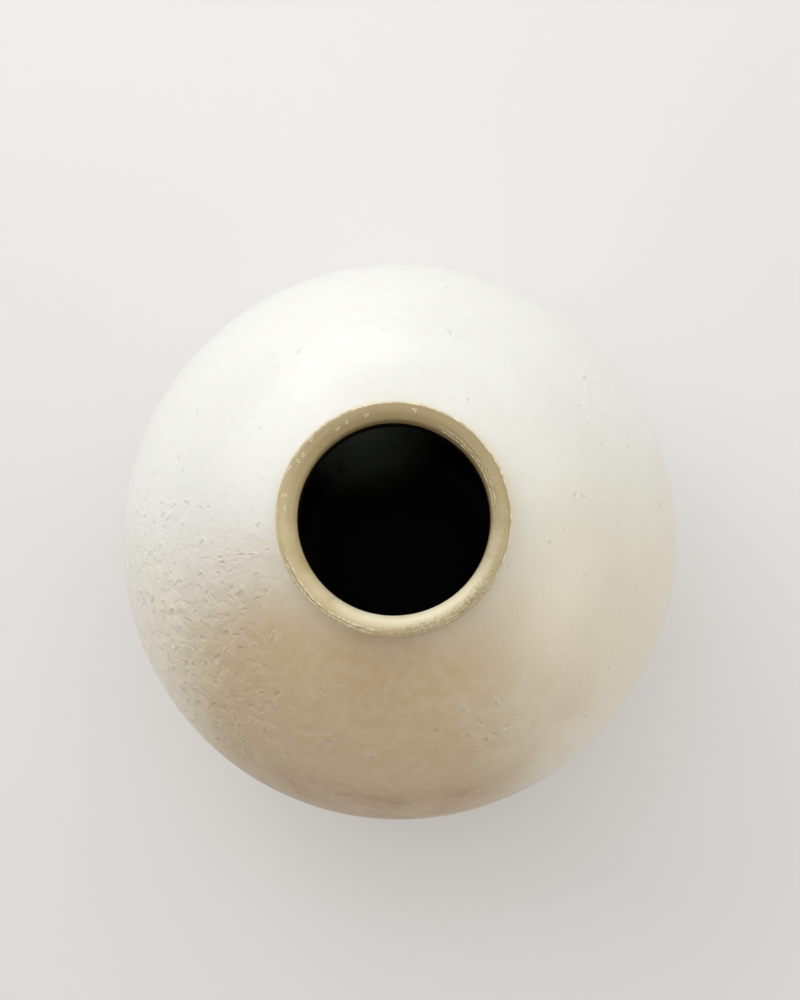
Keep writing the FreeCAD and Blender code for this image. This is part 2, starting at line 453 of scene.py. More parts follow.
@dataclass(frozen=True)
class BodyGlaze:
    """The satin white glaze of the two bowls, blushed by the kiln from cream to tan towards -Y, with warm
    shade painted into that side too, and painted shade, highlight and reflection.
    """

    white: Colour = glaze_colour(239, 240, 234)
    cream: Colour = glaze_colour(231, 221, 199)
    tan: Colour = glaze_colour(196, 171, 130)
    painted_shade_brown: Colour = glaze_colour(168, 130, 92)
    cool: Colour = glaze_colour(233, 232, 236)
    hollow: Colour = glaze_colour(172, 161, 136)
    crest: Colour = glaze_colour(244, 243, 236)
    speck: Colour = glaze_colour(150, 120, 84)
    warm: Colour = glaze_colour(240, 230, 202)
    cool_place: Corner = (-75 * MM, -8 * MM, 236 * MM)
    cool_reach: float = 60 * MM
    # Where the lip's painted shadow falls on the shoulder, on the -Y side.
    painted_lip_shadow_place: Corner = (-6 * MM, -66 * MM, 262 * MM)
    painted_lip_shadow_reach: float = 34 * MM
    neck_reach: float = 58 * MM
    neck_start: float = 53.5 * MM
    drift_size: float = 75 * MM
    cloud_size: float = 22 * MM
    mottle_size: float = 5 * MM
    speck_spacing: float = 13 * MM
    pebble_size: float = 5.5 * MM
    dent_size: float = 5 * MM
    dent_depth: float = 0.75 * MM
    peel_size: float = 3.2 * MM
    peel_depth: float = 0.09 * MM
    dimple_size: float = 9 * MM
    dimple_depth: float = 0.3 * MM

    def make(self, form: JarForm) -> bpy.types.Material:
        """Mixes the glaze.

        Args:
            form: The jar's sizes.

        Returns:
            The material.
        """
        coat = Jacket("body_glaze", self.white)
        right, back = coat.x / form.belly_radius, coat.y / form.belly_radius
        up = (coat.z - form.belly_height) / form.belly_radius
        drift = coat.noise(self.drift_size, 3, 0.4) - 0.5
        cloud = coat.noise(self.cloud_size, 4, 0.6) - 0.5
        mottle = coat.noise(self.mottle_size, 3) - 0.5
        worn, hollow = coat.attribute("worn"), coat.attribute("hollow")

        # Painted warm shade: cream and tan grow towards -Y, the side away from the window lamp, and stand
        # partly for the colour the kiln gave the glaze and partly for shade.
        warmth = (right * 0.3 - back * 1.6 + drift * 0.8 + cloud * 0.3).step(-0.65, 0.75)
        ahead = back * -0.97 - right * 0.25
        aside = coat.maths("ABSOLUTE", right * 0.97 - back * 0.25)
        blush_and_shade = (ahead + drift * 0.3 + cloud * 0.22 + mottle * 0.06).step(0.06, 0.46)
        blush_and_shade = blush_and_shade * (aside + drift * 0.5 + cloud * 0.25).step(0.82, 0.33)
        low = up + drift * 0.35 + cloud * 0.12
        sideways = right + drift * 0.5 + cloud * 0.2
        # Painted reflection: a brown band low on the -Y side, near the outline, stands for the shaded floor
        # mirrored in the glaze.
        band = low.step(-0.35, 0.22) * (up + cloud * 0.1).step(0.58, 0.42) * (-back).step(0.4, 0.6)
        band = band * sideways.step(-0.66, -0.22) * sideways.step(0.6, 0.12)
        # The lip's painted shadow.
        painted_lip_shadow = coat.near(self.painted_lip_shadow_place, self.painted_lip_shadow_reach)
        neck = coat.from_axis().step(self.neck_reach, self.neck_start)
        neck = neck * up.step(0.5, 0.7) * back.step(-0.22, 0.05)
        pebbles = coat.noise(self.pebble_size, 2, 0.2)
        dents = coat.noise(self.dent_size, 1, 0.3).step(0.5, 0.68)

        coat.lay(self.cream, warmth)
        coat.lay(self.tan, blush_and_shade * 0.9)
        coat.lay(self.cool, coat.near(self.cool_place, self.cool_reach) * 0.42)
        # Brown painted shade: the mirrored floor shadow in the band, and the lip's shadow on the shoulder.
        coat.lay(self.painted_shade_brown, (band * (0.5 + cloud * 1.1) + painted_lip_shadow * 0.24).clipped())
        coat.lay(self.cream, (mottle * 0.5 + 0.08).clipped())
        coat.lay(self.warm, neck * 0.6)
        # The marks' hollows are darker, partly for thinner glaze there and partly as painted shade; the low
        # spots of the pebbles in the worn zones get painted shade too.
        coat.lay(self.hollow, (hollow * 0.3 + worn * pebbles.step(0.42, 0.28) * 0.06).clipped())
        # Painted highlight on the marks' raised rims.
        coat.lay(self.crest, coat.attribute("crest") * 0.2)
        coat.lay(self.speck, coat.cells(self.speck_spacing).step(0.055, 0.02) * 0.26)

        coat.emboss(coat.noise(self.peel_size), self.peel_depth)
        coat.emboss(coat.noise(self.dimple_size, 1), self.dimple_depth, 0.8)
        coat.emboss((pebbles * 0.5 - dents * 0.5 + 0.5) * (worn * 0.93 + 0.07), self.dent_depth)
        rough = 0.33 + cloud * 0.16 + blush_and_shade * 0.1 + hollow * 0.1
        return coat.close(rough, Coat_Weight=0.34 - blush_and_shade * 0.2 - band * 0.1, Coat_Roughness=0.22)


@dataclass(frozen=True)
class LipGlaze:
    """The khaki glaze of the lip, thinly laid and cream along its outer edge, with painted shade on its +Y
    half and at the throat and painted light on its inner slope towards -Y.
    """

    khaki: Colour = glaze_colour(194, 174, 126)
    deep: Colour = glaze_colour(160, 139, 94)
    pale: Colour = glaze_colour(219, 201, 156)
    olive: Colour = glaze_colour(120, 101, 66)
    cream: Colour = glaze_colour(247, 238, 208)
    dark: Colour = glaze_colour(20, 17, 12)
    cloud_size: float = 14 * MM
    mottle_size: float = 2.4 * MM
    mottle_depth: float = 0.14 * MM
    grain_size: float = 0.8 * MM
    dark_start: float = 0.4 * MM
    dark_full: float = 0.8 * MM
    foam_patches: tuple[tuple[Corner, float], ...] = (
        ((34 * MM, -37 * MM, 286 * MM), 24 * MM),
        ((12 * MM, -50 * MM, 285 * MM), 15 * MM),
    )
    foam_size: float = 1.5 * MM
    foam_depth: float = 0.5 * MM

    def make(self, form: JarForm) -> bpy.types.Material:
        """Mixes the glaze.

        Args:
            form: The jar's sizes.

        Returns:
            The material.
        """
        coat = Jacket("lip_glaze", self.khaki)
        out = (coat.from_axis() - form.mouth_radius) / (form.collar_wall + form.lip_overhang)
        right, back = coat.x / form.collar_radius, coat.y / form.collar_radius
        cloud = coat.noise(self.cloud_size, 3, 0.5) - 0.5
        mottle = coat.noise(self.mottle_size, 3) - 0.5
        grain = coat.noise(self.grain_size) - 0.5
        # Painted shade: deep khaki over the lip's +Y half, most on its outer part.
        upper = (back + cloud * 0.5 - right * 0.1).step(-0.1, 0.9)
        # Painted light: cream on the inner slope towards -Y and +X, the part that faces the window lamp.
        painted_light = (right * 0.45 - back * 0.9 + cloud * 0.8).step(-0.2, 0.95)
        flank = (right + cloud * 0.4).step(0.3, 0.85) * (-back).step(0.8, 0.25)
        shaded = (out - back * 0.13 - right * 0.04 + mottle * 0.08).step(0.12, -0.03)
        # The cream rim along the outer edge is where the white glaze ends; laying it stronger towards +Y and
        # +X adds painted highlight.
        edge = (back * 0.7 + right * 0.6 + cloud * 0.6).step(-0.6, 0.45) * 0.75 + 0.22
        rim = (out + mottle * 0.12 + cloud * 0.05).step(0.9, 0.96)
        # Painted shade: the glaze turns near black low in the throat, where the unlit inside begins.
        low = coat.z.step(form.lip_end[1] + self.dark_start, form.lip_end[1] - self.dark_full)
        first, second = (coat.near(place, reach) for place, reach in self.foam_patches)
        broken = (first + second).clipped() * (out + cloud * 0.5).step(0.3, 0.55)
        foam = coat.cells(self.foam_size)
        bubbles = foam.step(0.4, 0.1) * broken

        coat.lay(self.pale, (0.3 + cloud * 1.2 + mottle * 0.7).clipped())
        coat.lay(self.deep, upper * (0.64 + out * 0.3))
        coat.lay(self.cream, painted_light * (out + mottle * 0.2).step(0.8, 0.12) * 0.85)
        coat.lay(self.deep, flank * (0.5 + mottle * 0.6))
        coat.lay(self.olive, shaded * 0.8)
        coat.lay(self.cream, rim * edge * (mottle * 2.2 + 0.65).clipped())
        # Olive in the hollows and grooves is painted shade; cream on the ridges is painted highlight, and on
        # the blister rims it is partly their own pale colour.
        coat.lay(self.olive, coat.attribute("hollow") * 0.6)
        coat.lay(self.cream, coat.attribute("crest") * 0.8)
        coat.lay(self.dark, low * out.step(0.3, 0.1))
        coat.lay(self.olive, foam.step(0.45, 0.7) * broken * 0.45)
        coat.lay(self.cream, bubbles * 0.8)

        coat.emboss(mottle * 0.5 + grain * 0.4 + 0.5, self.mottle_depth)
        coat.emboss(bubbles, self.foam_depth)
        return coat.close(0.36 + cloud * 0.2 + grain * 0.15, Coat_Weight=0.3, Coat_Roughness=0.25)


@dataclass(frozen=True)
class ShadedLiner:
    """The glaze inside the jar, painted olive black to stand for the shade within it."""

    # Painted shade: the black and the olive stand for the unlit inside of the jar.
    black: Colour = glaze_colour(6, 7, 6)
    olive: Colour = glaze_colour(16, 18, 13)
    sheen: Colour = glaze_colour(236, 244, 222)
    cloud_size: float = 30 * MM
    fine_size: float = 2.5 * MM
    ring_depth: float = 0.25 * MM
    sheen_place: Corner = (-30 * MM, 94 * MM, 42 * MM)
    sheen_reach: float = 68 * MM

    def make(self, form: JarForm) -> bpy.types.Material:
        """Mixes the glaze.

        Args:
            form: The jar's sizes.

        Returns:
            The material.
        """
        coat = Jacket("shaded_liner", self.black)
        cloud = coat.noise(self.cloud_size, 3, 0.5)
        fine = coat.noise(self.fine_size)
        rings = coat.maths("SINE", coat.z * (FULL_TURN / form.ring_pitch))
        coat.lay(self.olive, (cloud * 0.9 + fine * 0.2).clipped())
        # Painted sheen: a pale patch low on the far inside wall stands for light reflected there.
        sheen_breakup = (cloud + fine * 0.3).step(0.25, 0.7)
        coat.lay(self.sheen, coat.near(self.sheen_place, self.sheen_reach) * sheen_breakup)
        coat.emboss(rings * 0.25 + fine * 0.4 + 0.3, self.ring_depth)
        return coat.close(0.34 + cloud * 0.15, Specular_IOR_Level=0.06)


@dataclass(frozen=True)
class BareClay:
    """The unglazed, toasted clay of the foot."""

    buff: Colour = glaze_colour(206, 186, 156)
    toast: Colour = glaze_colour(182, 132, 92)
    ash: Colour = glaze_colour(146, 122, 98)
    quartz: Colour = glaze_colour(226, 214, 192)
    cloud_size: float = 12 * MM
    grain_size: float = 1.1 * MM
    grit_spacing: float = 1.9 * MM
    grit_depth: float = 0.28 * MM

    def make(self, form: JarForm) -> bpy.types.Material:
        """Mixes the clay.

        Args:
            form: The jar's sizes.

        Returns:
            The material.
        """
        coat = Jacket("bare_clay", self.buff)
        cloud = coat.noise(self.cloud_size, 4, 0.8) - 0.5
        grain = coat.noise(self.grain_size, 3)
        grit = coat.cells(self.grit_spacing)
        coat.lay(self.toast, (coat.z / form.foot_height + cloud * 0.9).step(0.45, 1.1))
        coat.lay(self.ash, (cloud * 1.4).clipped() * 0.8)
        coat.lay(self.quartz, grit.step(0.22, 0.1) * 0.6)
        coat.lay(self.ash, grain.step(0.58, 0.72) * 0.5)
        coat.emboss(grain * 0.6 + grit.step(0.35, 0.1) * 0.4, self.grit_depth)
        return coat.close(0.86 + cloud * 0.1)


@dataclass(frozen=True)
class PooledGlaze:
    """The glaze that ran into the fillets at the neck and the foot, thicker and greyer."""

    white: Colour = glaze_colour(236, 229, 206)
    grey: Colour = glaze_colour(205, 204, 194)
    tan: Colour = glaze_colour(198, 172, 130)
    cloud_size: float = 9 * MM
    edge_sway: float = 2.4 * MM
    fine_size: float = 2 * MM
    fine_depth: float = 0.12 * MM

    def make(self, form: JarForm) -> bpy.types.Material:
        """Mixes the glaze.

        Args:
            form: The jar's sizes.

        Returns:
            The material.
        """
        coat = Jacket("pooled_glaze", self.white)
        cloud = coat.noise(self.cloud_size, 3, 0.6) - 0.5
        # Tan towards -Y, as on the bowls: partly the colour the kiln gave the glaze, partly painted warm
        # shade.
        blush_and_shade = (cloud * 0.8 - coat.y / form.collar_radius).step(-0.1, 0.8)
        edge = (coat.z + cloud * self.edge_sway).step(form.foot_height, form.foot_height - form.slip * 2)
        coat.lay(self.grey, (0.35 + cloud * 1.5).clipped())
        coat.lay(self.tan, (blush_and_shade * 0.8 + edge * 0.7).clipped())
        coat.emboss(coat.noise(self.fine_size), self.fine_depth)
        return coat.close(0.26 + cloud * 0.12, Coat_Weight=0.4, Coat_Roughness=0.2)


@dataclass(frozen=True)
class Finishes:
    """All the finishes, each mixed once."""

    body: bpy.types.Material
    lip: bpy.types.Material
    liner: bpy.types.Material
    clay: bpy.types.Material
    pooled: bpy.types.Material


# Shapes

# A crescent's rim fades out between these cosines of the angle round it.
CRESCENT_FADE = (-0.5, 0.4)
# In a mark's half sizes: how wide a blister's hollow is, how far a mark shows, and how far along it and
# across it the faces are divided.
BLISTER_HOLLOW = 0.4
MARK_REACH = 1.7
FINE_ALONG = 1.35
FINE_ACROSS = 1.6


class Part(Enum):
    """The slots of the record, one of which is passed along with each piece."""

    WHITE = "white_glaze"
    LIP = "lip_glaze"
    INNER = "inner_glaze"
    CLAY = "bare_clay"


class Relief(Enum):
    """The kinds of small marks in the glaze, by their rim's height, place and width and their dip's depth.

    The two heights are shares of the mark's depth, and the rim's place and width are shares of its half size.
    """

    GASH = (0.24, 1.15, 0.32, 1)
    PIT = (0.12, 1.15, 0.3, 1)
    CRESCENT = (0.62, 0.9, 0.34, 0.6)
    BLISTER = (0.9, 0.75, 0.22, 0.7)

    def height(self, along: np.ndarray, across: np.ndarray) -> np.ndarray:
        """The mark's shape, where one is as deep or high as it gets.

        Args:
            along: Places along the mark, in half lengths.
            across: Places across it, in half widths.

        Returns:
            The heights, below zero for hollows.
        """
        rim_height, rim_place, rim_width, dip_depth = self.value
        away = np.hypot(along, across)
        side, dip = 1, np.maximum(1 - away ** 2, 0) ** 2
        if self is Relief.CRESCENT:
            side = smooth_step(along / (away + 0.01), *CRESCENT_FADE)
        elif self is Relief.BLISTER:
            dip = np.exp(-((away / BLISTER_HOLLOW) ** 2))
        return rim_height * side * np.exp(-((away - rim_place) / rim_width) ** 2) - dip_depth * dip


@dataclass(frozen=True)
class Spot:
    """A mark's middle, its two directions in the surface, its size, and how far its ends curve."""

    centre: Vector
    along: Vector
    across: Vector
    relief: Relief
    half_length: float
    half_width: float
    depth: float
    bow: float = 0

    @property
    def reach(self) -> float:
        """How far from its middle the mark still shows."""
        return MARK_REACH * max(self.half_length, self.half_width)


def placed_spot(
    centre: Vector, normal: Vector, turn: float, relief: Relief, sizes: Corner, bow: float = 0
) -> Spot:
    """A mark on a surface.

    Args:
        centre: Its middle.
        normal: The surface's outward direction there.
        turn: How far it is turned up from level.
        relief: Its kind.
        sizes: Its half length, its half width and its depth.
        bow: How far its ends curve, in half widths.

    Returns:
        The mark.
    """
    level = Vector((-centre.y, centre.x, 0)).normalized()
    along = level * math.cos(turn) + normal.cross(level) * math.sin(turn)
    return Spot(centre, along, normal.cross(along), relief, *sizes, bow)


@dataclass(frozen=True)
class Mark:
    """A listed mark, with its azimuth and its turn in degrees and its sizes in millimetres."""

    relief: Relief
    azimuth: float
    climb: float
    length: float
    width: float
    turn: float
    depth: float = 0.5

    def spot(self, bend: Bend, climb: float) -> Spot:
        """The mark on its bend.

        Args:
            bend: The bend that carries it.
            climb: Its angle up the bend.

        Returns:
            The mark's place and size.
        """
        azimuth = math.radians(self.azimuth)
        across, height = bend.at(climb)
        level = math.cos(climb)
        centre = Vector((across * math.cos(azimuth), across * math.sin(azimuth), height))
        normal = Vector((level * math.cos(azimuth), level * math.sin(azimuth), math.sin(climb)))
        sizes = (self.length * MM / 2, self.width * MM / 2, self.depth * MM)
        return placed_spot(centre, normal, math.radians(self.turn), self.relief, sizes)


MarkTable = dict[Relief, tuple[tuple[float, ...], ...]]


def marks_in(table: MarkTable) -> list[Mark]:
    """All the marks of a table, which lists them by their kind."""
    return [Mark(relief, *row) for relief, rows in table.items() for row in rows]


class MeshTree(Bench):
    """A Geometry Nodes tree that makes a piece's mesh anew, with named inputs for its sizes."""

    def __init__(self, name: str, **kinds: str) -> None:
        """Starts a tree.

        Args:
            name: Its name.
            **kinds: Its inputs after the piece's mesh, each with its kind of socket.
        """
        super().__init__(bpy.data.node_groups.new(name, "GeometryNodeTree"))
        self.tree.interface.new_socket("outcome", in_out="OUTPUT", socket_type="NodeSocketGeometry")
        for title, kind in {"mesh": "Geometry", **kinds}.items():
            self.tree.interface.new_socket(title, in_out="INPUT", socket_type=f"NodeSocket{kind}")
        given = self.tree.nodes.new("NodeGroupInput").outputs
        self.given = [Wire(self, socket) for socket in given[:len(kinds) + 1]]

    def end(self, outcome: Wire, **finish: Wire) -> None:
        """Ends the tree.

        Args:
            outcome: The shape that it gives, which is made real.
            **finish: Its material, if it has one.
        """
        real = self.node("GeometryNodeRealizeInstances", {}, {"Geometry": outcome})
        finished = self.node("GeometryNodeSetMaterial", {}, {"Geometry": real, **finish})
        self.node("NodeGroupOutput", {}, {0: finished})

    def apply(self, piece: bpy.types.Object, **values: Any) -> None:
        """Runs the tree on a new piece, whose mesh becomes the outcome.

        Args:
            piece: The piece, which is in no collection yet.
            **values: The tree's inputs, by name.
        """
        bpy.context.scene.collection.objects.link(piece)
        modifier = piece.modifiers.new(self.tree.name, "NODES")
        modifier.node_group = self.tree
        for socket in self.tree.interface.items_tree:
            if socket.name in values:
                modifier[socket.identifier] = values[socket.name]
        settled = piece.evaluated_get(bpy.context.evaluated_depsgraph_get())
        mesh = bpy.data.meshes.new_from_object(settled)
        piece.modifiers.clear()
        piece.data = mesh


class TurnedTree(MeshTree):
    """A tree that turns a profile of points about the jar's axis."""

    join_distance: float = 0.002 * MM

    def __init__(self) -> None:
        """Builds the tree: a flat grid with a row for each point, wrapped round the axis and joined."""
        super().__init__("turned_wall", sides="Int", join="Float", finish="Material")
        profile, sides, join, finish = self.given
        count = self.node("GeometryNodeAttributeDomainSize", {"component": "MESH"}, {"Geometry": profile})
        sizes = {"Size X": 1, "Size Y": 1, "Vertices X": sides + 1, "Vertices Y": count}
        grid = self.node("GeometryNodeMeshGrid", {}, sizes)
        position = self.node("GeometryNodeInputPosition")
        flat = self.node("ShaderNodeSeparateXYZ", {}, {0: position})
        turn = (flat + 0.5) * FULL_TURN
        row = self.maths("ROUND", (flat.output("Y") + 0.5) * (count - 1))
        settings = {"data_type": "FLOAT_VECTOR", "domain": "POINT"}
        inputs = {"Geometry": profile, "Value": position, "Index": row}
        place = self.node("GeometryNodeSampleIndex", settings, inputs)
        across = self.node("ShaderNodeSeparateXYZ", {}, {0: place})
        around = {"X": across * self.maths("COSINE", turn), "Y": across * self.maths("SINE", turn)}
        turned = self.node("ShaderNodeCombineXYZ", {}, {**around, "Z": across.output("Z")})
        wall = self.node("GeometryNodeSetPosition", {}, {"Geometry": grid, "Position": turned})
        merged = self.node("GeometryNodeMergeByDistance", {}, {"Geometry": wall, "Distance": join})
        smooth = self.node("GeometryNodeSetShadeSmooth", {}, {"Geometry": merged, "Shade Smooth": True})
        self.end(smooth, Material=finish)

    def turn(
        self, name: str, profile: Sequence[Place], sides: int, finish: bpy.types.Material
    ) -> bpy.types.Object:
        """Turns a profile into a piece.

        Args:
            name: The piece's name.
            profile: Its places, up the outside and down the inside.
            sides: How many facets go round.
            finish: Its material.

        Returns:
            The piece, as a plain mesh.
        """
        mesh = bpy.data.meshes.new(name)
        points = [(across, 0, height) for across, height in profile]
        mesh.from_pydata(points, [(n, n + 1) for n in range(len(points) - 1)], [])
        piece = bpy.data.objects.new(name, mesh)
        self.apply(piece, sides=sides, join=self.join_distance, finish=finish)
        piece.data.materials.pop(index=0)
        return piece


class ScatterTree(MeshTree):
    """A tree that scatters marks over a wall, thickest where it is weathered most."""

    chances: tuple[str, ...] = ("turn", "stretch", "kind", "depth")
    gash_share: float = 0.45
    gash_and_crescent_share: float = 0.86
    least_length: float = 1.2 * MM
    more_length: float = 1.9 * MM
    length_power: float = 1.6
    least_pit: float = 0.7 * MM
    more_pit: float = 0.8 * MM
    least_width: float = 0.6 * MM
    least_slimness: float = 0.4
    more_slimness: float = 0.4
    crescent_slimness: float = 0.72
    least_depth: float = 0.55
    more_depth: float = 0.9
    most_bow: float = 0.8
    upright: float = math.radians(90)
    most_turn: float = math.radians(65)

    def __init__(self) -> None:
        """Builds the tree, which stores the wall's direction and four chances on each point."""
        super().__init__("scattered_marks", spacing="Float", most="Float", seed="Int")
        wall, spacing, most, seed = self.given
        worn = self.node("GeometryNodeInputNamedAttribute", {"data_type": "FLOAT"}, {"Name": "worn"})
        inputs = {"Mesh": wall, "Distance Min": spacing, "Density Max": most, "Seed": seed}
        inputs["Density Factor"] = worn
        points = self.node("GeometryNodeDistributePointsOnFaces", {"distribute_method": "POISSON"}, inputs)
        marked = self.store(points, "facing", points.output("Normal"), "FLOAT_VECTOR")
        for number, name in enumerate(self.chances, 1):
            chance = self.node("FunctionNodeRandomValue", {"data_type": "FLOAT"}, {"Seed": seed + number}, 1)
            marked = self.store(marked, name, chance, "FLOAT")
        self.end(self.node("GeometryNodePointsToVertices", {}, {"Points": marked}))

    def store(self, points: Wire, name: str, value: Wire, kind: str) -> Wire:
        """The points with a value of this kind stored on each."""
        inputs = {"Geometry": points, "Name": name, "Value": value}
        return self.node("GeometryNodeStoreNamedAttribute", {"data_type": kind, "domain": "POINT"}, inputs)

    def scatter(
        self, wall: bpy.types.Object, spacing: float, most: float, seed: int, typical: float
    ) -> list[Spot]:
        """Scatters marks over a wall whose points say how worn they are.

        Args:
            wall: The piece, with a number called worn on its points.
            spacing: The least distance between marks.
            most: The most marks per square metre.
            seed: What the chance starts from.
            typical: The depth of a middling mark.

        Returns:
            The marks.
        """
        probe = bpy.data.objects.new("probe", wall.data.copy())
        self.apply(probe, spacing=spacing, most=most, seed=seed)
        mesh = probe.data
        chances = [mesh.attributes[name].data for name in self.chances]
        spots = []
        for number, vertex in enumerate(mesh.vertices):
            turn, stretch, kind, depth = (chance[number].value for chance in chances)
            relief, slimness = Relief.PIT, 1
            length = self.least_length + self.more_length * stretch ** self.length_power
            if kind < self.gash_share:
                relief, slimness = Relief.GASH, self.least_slimness + self.more_slimness * kind
            elif kind < self.gash_and_crescent_share:
                relief, slimness = Relief.CRESCENT, self.crescent_slimness
            else:
                length = self.least_pit + self.more_pit * stretch
            deep = typical * (self.least_depth + self.more_depth * depth)
            sizes = (length, max(length * slimness, self.least_width), deep)
            normal = Vector(mesh.attributes["facing"].data[number].vector)
            angle = self.upright + self.most_turn * (2 * turn - 1)
            bow = self.most_bow * (2 * stretch - 1)
            spots.append(placed_spot(vertex.co.copy(), normal, angle, relief, sizes, bow))
        bpy.data.objects.remove(probe)
        return spots


def rows_of(items: Any, name: str) -> np.ndarray:
    """A property in three parts of a mesh's points or faces, as rows of numbers.

    Args:
        items: The points, their normals or the faces.
        name: The property.

    Returns:
        A row for each item.
    """
    flat = np.empty(len(items) * 3)
    items.foreach_get(name, flat)
    return flat.reshape(-1, 3)


def points_of(mesh: bpy.types.Mesh) -> np.ndarray:
    """The mesh's points as rows of numbers."""
    return rows_of(mesh.vertices, "co")


def normals_of(mesh: bpy.types.Mesh) -> np.ndarray:
    """The outward directions at the mesh's points as rows of numbers."""
    return rows_of(mesh.vertex_normals, "vector")


def polar(points: np.ndarray) -> tuple[np.ndarray, np.ndarray]:
    """The points' azimuths and their distances from the jar's axis."""
    return np.arctan2(points[:, 1], points[:, 0]), np.hypot(points[:, 0], points[:, 1])


def put_points(mesh: bpy.types.Mesh, points: np.ndarray) -> None:
    """Moves the mesh's points to these rows of numbers."""
    mesh.vertices.foreach_set("co", points.ravel())
    mesh.update()


def put_radii(mesh: bpy.types.Mesh, radii: np.ndarray) -> None:
    """Moves each of the mesh's points to this distance from the jar's axis."""
    share = radii / polar(points_of(mesh))[1]
    put_points(mesh, points_of(mesh) * np.stack([share, share, np.ones(len(share))], 1))


def number_of(mesh: bpy.types.Mesh, name: str) -> np.ndarray:
    """A number that is stored on each point of the mesh.

    Args:
        mesh: The mesh.
        name: The number's name.

    Returns:
        The numbers.
    """
    values = np.empty(len(mesh.vertices), dtype=np.float32)
    mesh.attributes[name].data.foreach_get("value", values)
    return values


def put_number(mesh: bpy.types.Mesh, name: str, values: np.ndarray) -> None:
    """Stores a number on each point of the mesh."""
    layer = mesh.attributes.get(name) or mesh.attributes.new(name, "FLOAT", "POINT")
    layer.data.foreach_set("value", values.astype(np.float32))


def refine(mesh: bpy.types.Mesh, spots: Sequence[Spot], cuts: int) -> None:
    """Divides the faces under the marks more finely.

    Args:
        mesh: The mesh to change.
        spots: The marks.
        cuts: How many cuts each edge there gets.
    """
    shape = bmesh.new()
    shape.from_mesh(mesh)
    shape.faces.ensure_lookup_table()
    tree = KDTree(len(shape.faces))
    for number, face in enumerate(shape.faces):
        tree.insert(face.calc_center_median(), number)
    tree.balance()
    half_face = math.sqrt(shape.faces[len(shape.faces) // 2].calc_area()) / 2
    chosen = set()
    for spot in spots:
        for _, number, _ in tree.find_range(spot.centre, spot.reach + half_face):
            face = shape.faces[number]
            step = face.calc_center_median() - spot.centre
            beside = abs(step.dot(spot.across)) < FINE_ACROSS * spot.half_width + half_face
            if beside and abs(step.dot(spot.along)) < FINE_ALONG * spot.half_length + half_face:
                chosen.add(number)
    edges = {edge for number in chosen for edge in shape.faces[number].edges}
    bmesh.ops.subdivide_edges(shape, edges=list(edges), cuts=cuts, use_grid_fill=True)
    shape.to_mesh(mesh)
    shape.free()


def carve(mesh: bpy.types.Mesh, spots: Sequence[Spot]) -> None:
    """Presses the marks into a mesh, and stores how hollow or raised each point is.

    Args:
        mesh: The mesh to change.
        spots: The marks.
    """
    points = points_of(mesh)
    normals = normals_of(mesh)
    tree = KDTree(len(points))
    for number, point in enumerate(points):
        tree.insert(point, number)
    tree.balance()
    height = np.zeros(len(points))
    shade = np.zeros(len(points))
    for spot in spots:
        found = np.array([number for _, number, _ in tree.find_range(spot.centre, spot.reach)], dtype=int)
        if not len(found):
            continue
        step = points[found] - np.array(spot.centre)
        along = step @ np.array(spot.along) / spot.half_length
        across = step @ np.array(spot.across) / spot.half_width + spot.bow * along ** 2
        # Each mark's outline is wavy in a way that follows from where it lies, so that no two are alike.
        way = np.arctan2(across, along)
        phase = (spot.centre.x + 2 * spot.centre.y) / MM
        uneven = 1 + 0.24 * np.sin(2 * way + phase) + 0.2 * np.sin(3 * way + 2.3 * phase)
        facing = normals[found] @ np.array(spot.along.cross(spot.across)) > 0.5
        lift = spot.relief.height(along * uneven, across * uneven) * facing
        height[found] += spot.depth * lift
        shade[found] += lift
    put_points(mesh, points + normals * height[:, None])
    put_number(mesh, "hollow", np.clip(-shade, 0, 1))
    put_number(mesh, "crest", np.clip(shade, 0, 1))


@dataclass
class Workshop:
    """What every sub-assembly is built with."""

    form: JarForm
    finishes: Finishes
    wheel: TurnedTree
    scatter: ScatterTree

    def finish(self, piece: bpy.types.Object, part: Part, sharp: float, *nodes: str) -> None:
        """Draws a piece's sharp edges, attaches it to the jar's body and hides the solids that it stands for.

        Args:
            piece: The piece.
            part: The record's slot for the piece; not used.
            sharp: The angle in degrees from which an edge is drawn sharp.
            *nodes: The solids that it replaces.
        """
        piece.data.set_sharp_from_angle(angle=math.radians(sharp))
        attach(piece, "root")
        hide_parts(*nodes)
        piece.data.calc_loop_triangles()
        points = points_of(piece.data)
        span = " x ".join(f"{size / MM:.1f}" for size in points.max(0) - points.min(0))
        log.info("%s: %d triangles, %s mm", piece.name, len(piece.data.loop_triangles), span)


# The jar's pieces


